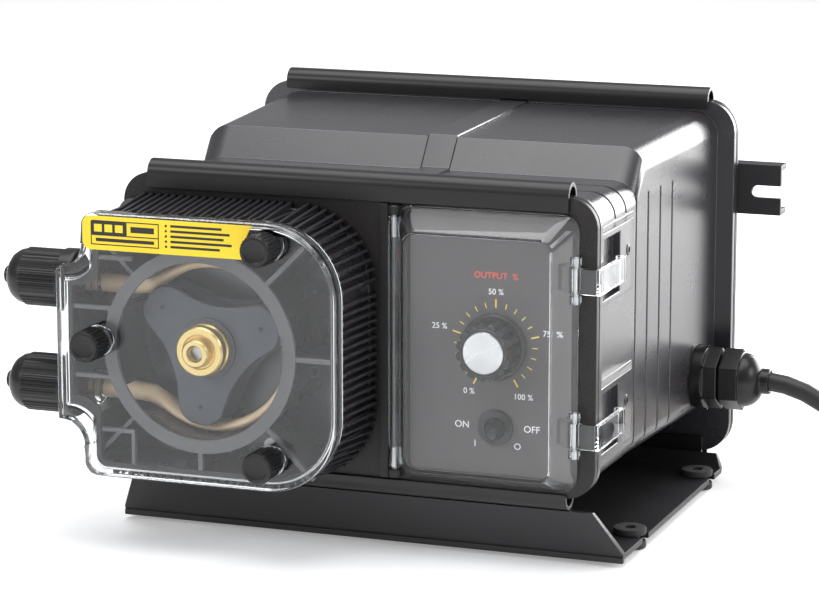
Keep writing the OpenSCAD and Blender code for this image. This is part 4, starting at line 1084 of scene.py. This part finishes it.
class PUMP_OT_cover(bpy.types.Operator):
    """Clear domed cover over the controls, with its latches, hinge barrel and lugs"""

    bl_idname = "pump.cover"
    bl_label = "Control cover"

    def execute(self, context):
        dome = finish_piece("cover_dome", self.dome(), "clear_plastic", "cover", "control_cover",
                            edge_look=lit_edge_finish())
        wall = dome.modifiers.new("Wall", "SOLIDIFY")
        wall.thickness = context.scene.pump_sizes.cover_wall
        wall.offset = -1
        dome.modifiers.move(1, 0)
        finish_piece("cover_knuckles", self.knuckles(), "clear_plastic", "cover")
        for node, body in (("upper_latch", "latch_high"), ("lower_latch", "latch_low")):
            finish_piece(node + "_clip", refined(node, 0.4, 2, mark=1), "clear_plastic", body, node,
                         edge_look=lit_edge_finish())
        return {"FINISHED"}

    def dome(self):
        """Flange, sloping sides and a flat front, as one sheet that gets its wall afterwards"""
        bm = outline(rectangle(21.9, 111.6, 39, 170), [8] * 4, -115.4)
        bmesh.ops.inset_region(bm, faces=bm.faces[:], thickness=2.2, use_even_offset=True)
        top = max(bm.faces, key=lambda f: f.calc_area())
        grown = bmesh.ops.extrude_face_region(bm, geom=[top])
        moved = [v for v in grown["geom"] if isinstance(v, bmesh.types.BMVert)]
        if top.is_valid:
            bmesh.ops.delete(bm, geom=[top], context="FACES_ONLY")
        bmesh.ops.translate(bm, vec=(0.7, -17.4, -0.75), verts=moved)
        shrink = Matrix.Diagonal((0.815, 1, 0.87, 1))
        middle = Matrix.Translation((67.4, 0, 103.75))
        bmesh.ops.transform(bm, matrix=middle @ shrink @ middle.inverted(), verts=moved)
        bmesh.ops.recalc_face_normals(bm, faces=bm.faces)
        front = min(bm.faces, key=lambda f: f.calc_center_median().y)
        if front.normal.y > 0:
            bmesh.ops.reverse_faces(bm, faces=bm.faces)
        rims = [e for e in bm.edges if len(e.link_faces) == 2 and e.calc_face_angle(0) > 0.6]
        bmesh.ops.bevel(bm, geom=rims, offset=1.1, offset_type="OFFSET", segments=4, profile=0.5,
                        affect="EDGES", clamp_overlap=False, material=1)
        return bm

    def knuckles(self):
        """Hinge barrel down the left side, and the lugs that hold the latches"""
        bm = lathe([(1.3, 0), (2.8, 0), (2.8, 120.6), (1.3, 120.6)], "z", (21.5, -117, 44.2), 32, 0.4)
        for z in LATCH_HEIGHTS:
            for side in (-1, 1):
                low = z + side * 9 - 2
                add_to(bm, lathe([(1.3, 0), (2.8, 0), (2.8, 4), (1.3, 4)], "z", (110.5, -117, low), 32, 0.4))
                add_to(bm, block((106.5, -117.9, low), (109.4, -115.2, low + 4), 0.4))
        return bm


# ---------- stage ----------
class PUMP_OT_stage(bpy.types.Operator):
    """Pale floor, soft lights and a bright room"""

    bl_idname = "pump.stage"
    bl_label = "Stage"

    def execute(self, context):
        bm = bmesh.new()
        bmesh.ops.create_grid(bm, x_segments=1, y_segments=1, size=20)
        bmesh.ops.translate(bm, vec=(0, 0, -0.0002), verts=bm.verts)
        mesh = bpy.data.meshes.new("floor")
        bm.to_mesh(mesh)
        bm.free()
        floor = bpy.data.objects.new("floor", mesh)
        mesh.materials.append(solid_finish("floor paper", (0.86, 0.86, 0.86), 0.7, bump=0.0, grain=60,
                                           second=(0.88, 0.88, 0.88), extra={
                                               "Emission Color": (1, 1, 1, 1), "Emission Strength": 0.28}))
        context.collection.objects.link(floor)
        self.light("side_light", (0.9, 1.8, 0.30), 1.5, 72)
        self.light("right_light", (2.2, -0.3, 1.3), 1.0, 16)
        self.light("top_light", (-0.1, -0.1, 2.4), 2.4, 62)
        self.light("front_light", (-1.5, -2.1, 1.5), 0.9, 16)
        world = bpy.data.worlds.new("bright room")
        world.use_nodes = True
        world.node_tree.nodes["Background"].inputs["Color"].default_value = (0.95, 0.96, 1.0, 1)
        world.node_tree.nodes["Background"].inputs["Strength"].default_value = 0.42
        context.scene.world = world
        context.scene.view_settings.view_transform = "Standard"
        return {"FINISHED"}

    def light(self, name, place, size, power):
        """One square soft light that looks at the middle of the pump"""
        data = bpy.data.lights.new(name, "AREA")
        data.size = size
        data.energy = power
        lamp = bpy.data.objects.new(name, data)
        aim = Vector((0, 0, 0.1)) - Vector(place)
        lamp.matrix_world = Matrix.Translation(place) @ aim.to_track_quat("-Z", "Y").to_matrix().to_4x4()
        bpy.context.collection.objects.link(lamp)


# ---------- panel and start ----------
STEPS = (
    PUMP_OT_camera, PUMP_OT_cord, PUMP_OT_inner, PUMP_OT_case, PUMP_OT_base, PUMP_OT_gland, PUMP_OT_head,
    PUMP_OT_tube, PUMP_OT_rotor, PUMP_OT_controls, PUMP_OT_cover, PUMP_OT_stage,
)


class PUMP_PT_pieces(bpy.types.Panel):
    """Sidebar list of the pieces and their settings"""

    bl_idname = "PUMP_PT_pieces"
    bl_label = "Peristaltic pump"
    bl_space_type = "VIEW_3D"
    bl_region_type = "UI"
    bl_category = "Pump"

    def draw(self, context):
        """Show the sizes, the colours and one button for each step"""
        for group in (context.scene.pump_sizes, context.scene.pump_colours):
            box = self.layout.box()
            for name in group.__annotations__:
                box.prop(group, name)
        for step in STEPS:
            self.layout.operator(step.bl_idname)


CLASSES = (PumpSizes, PumpColours, *STEPS, PUMP_PT_pieces)


def register():
    """Make the settings, operators and panel known to Blender"""
    for item in CLASSES:
        bpy.utils.register_class(item)
    bpy.types.Scene.pump_sizes = bpy.props.PointerProperty(type=PumpSizes)
    bpy.types.Scene.pump_colours = bpy.props.PointerProperty(type=PumpColours)


def unregister():
    """Take away what register added"""
    del bpy.types.Scene.pump_colours
    del bpy.types.Scene.pump_sizes
    for item in reversed(CLASSES):
        bpy.utils.unregister_class(item)


def main():
    """Build everything in order"""
    register()
    for step in STEPS:
        getattr(bpy.ops.pump, step.bl_idname.split(".")[1])()


if __name__ == "__main__":
    main()
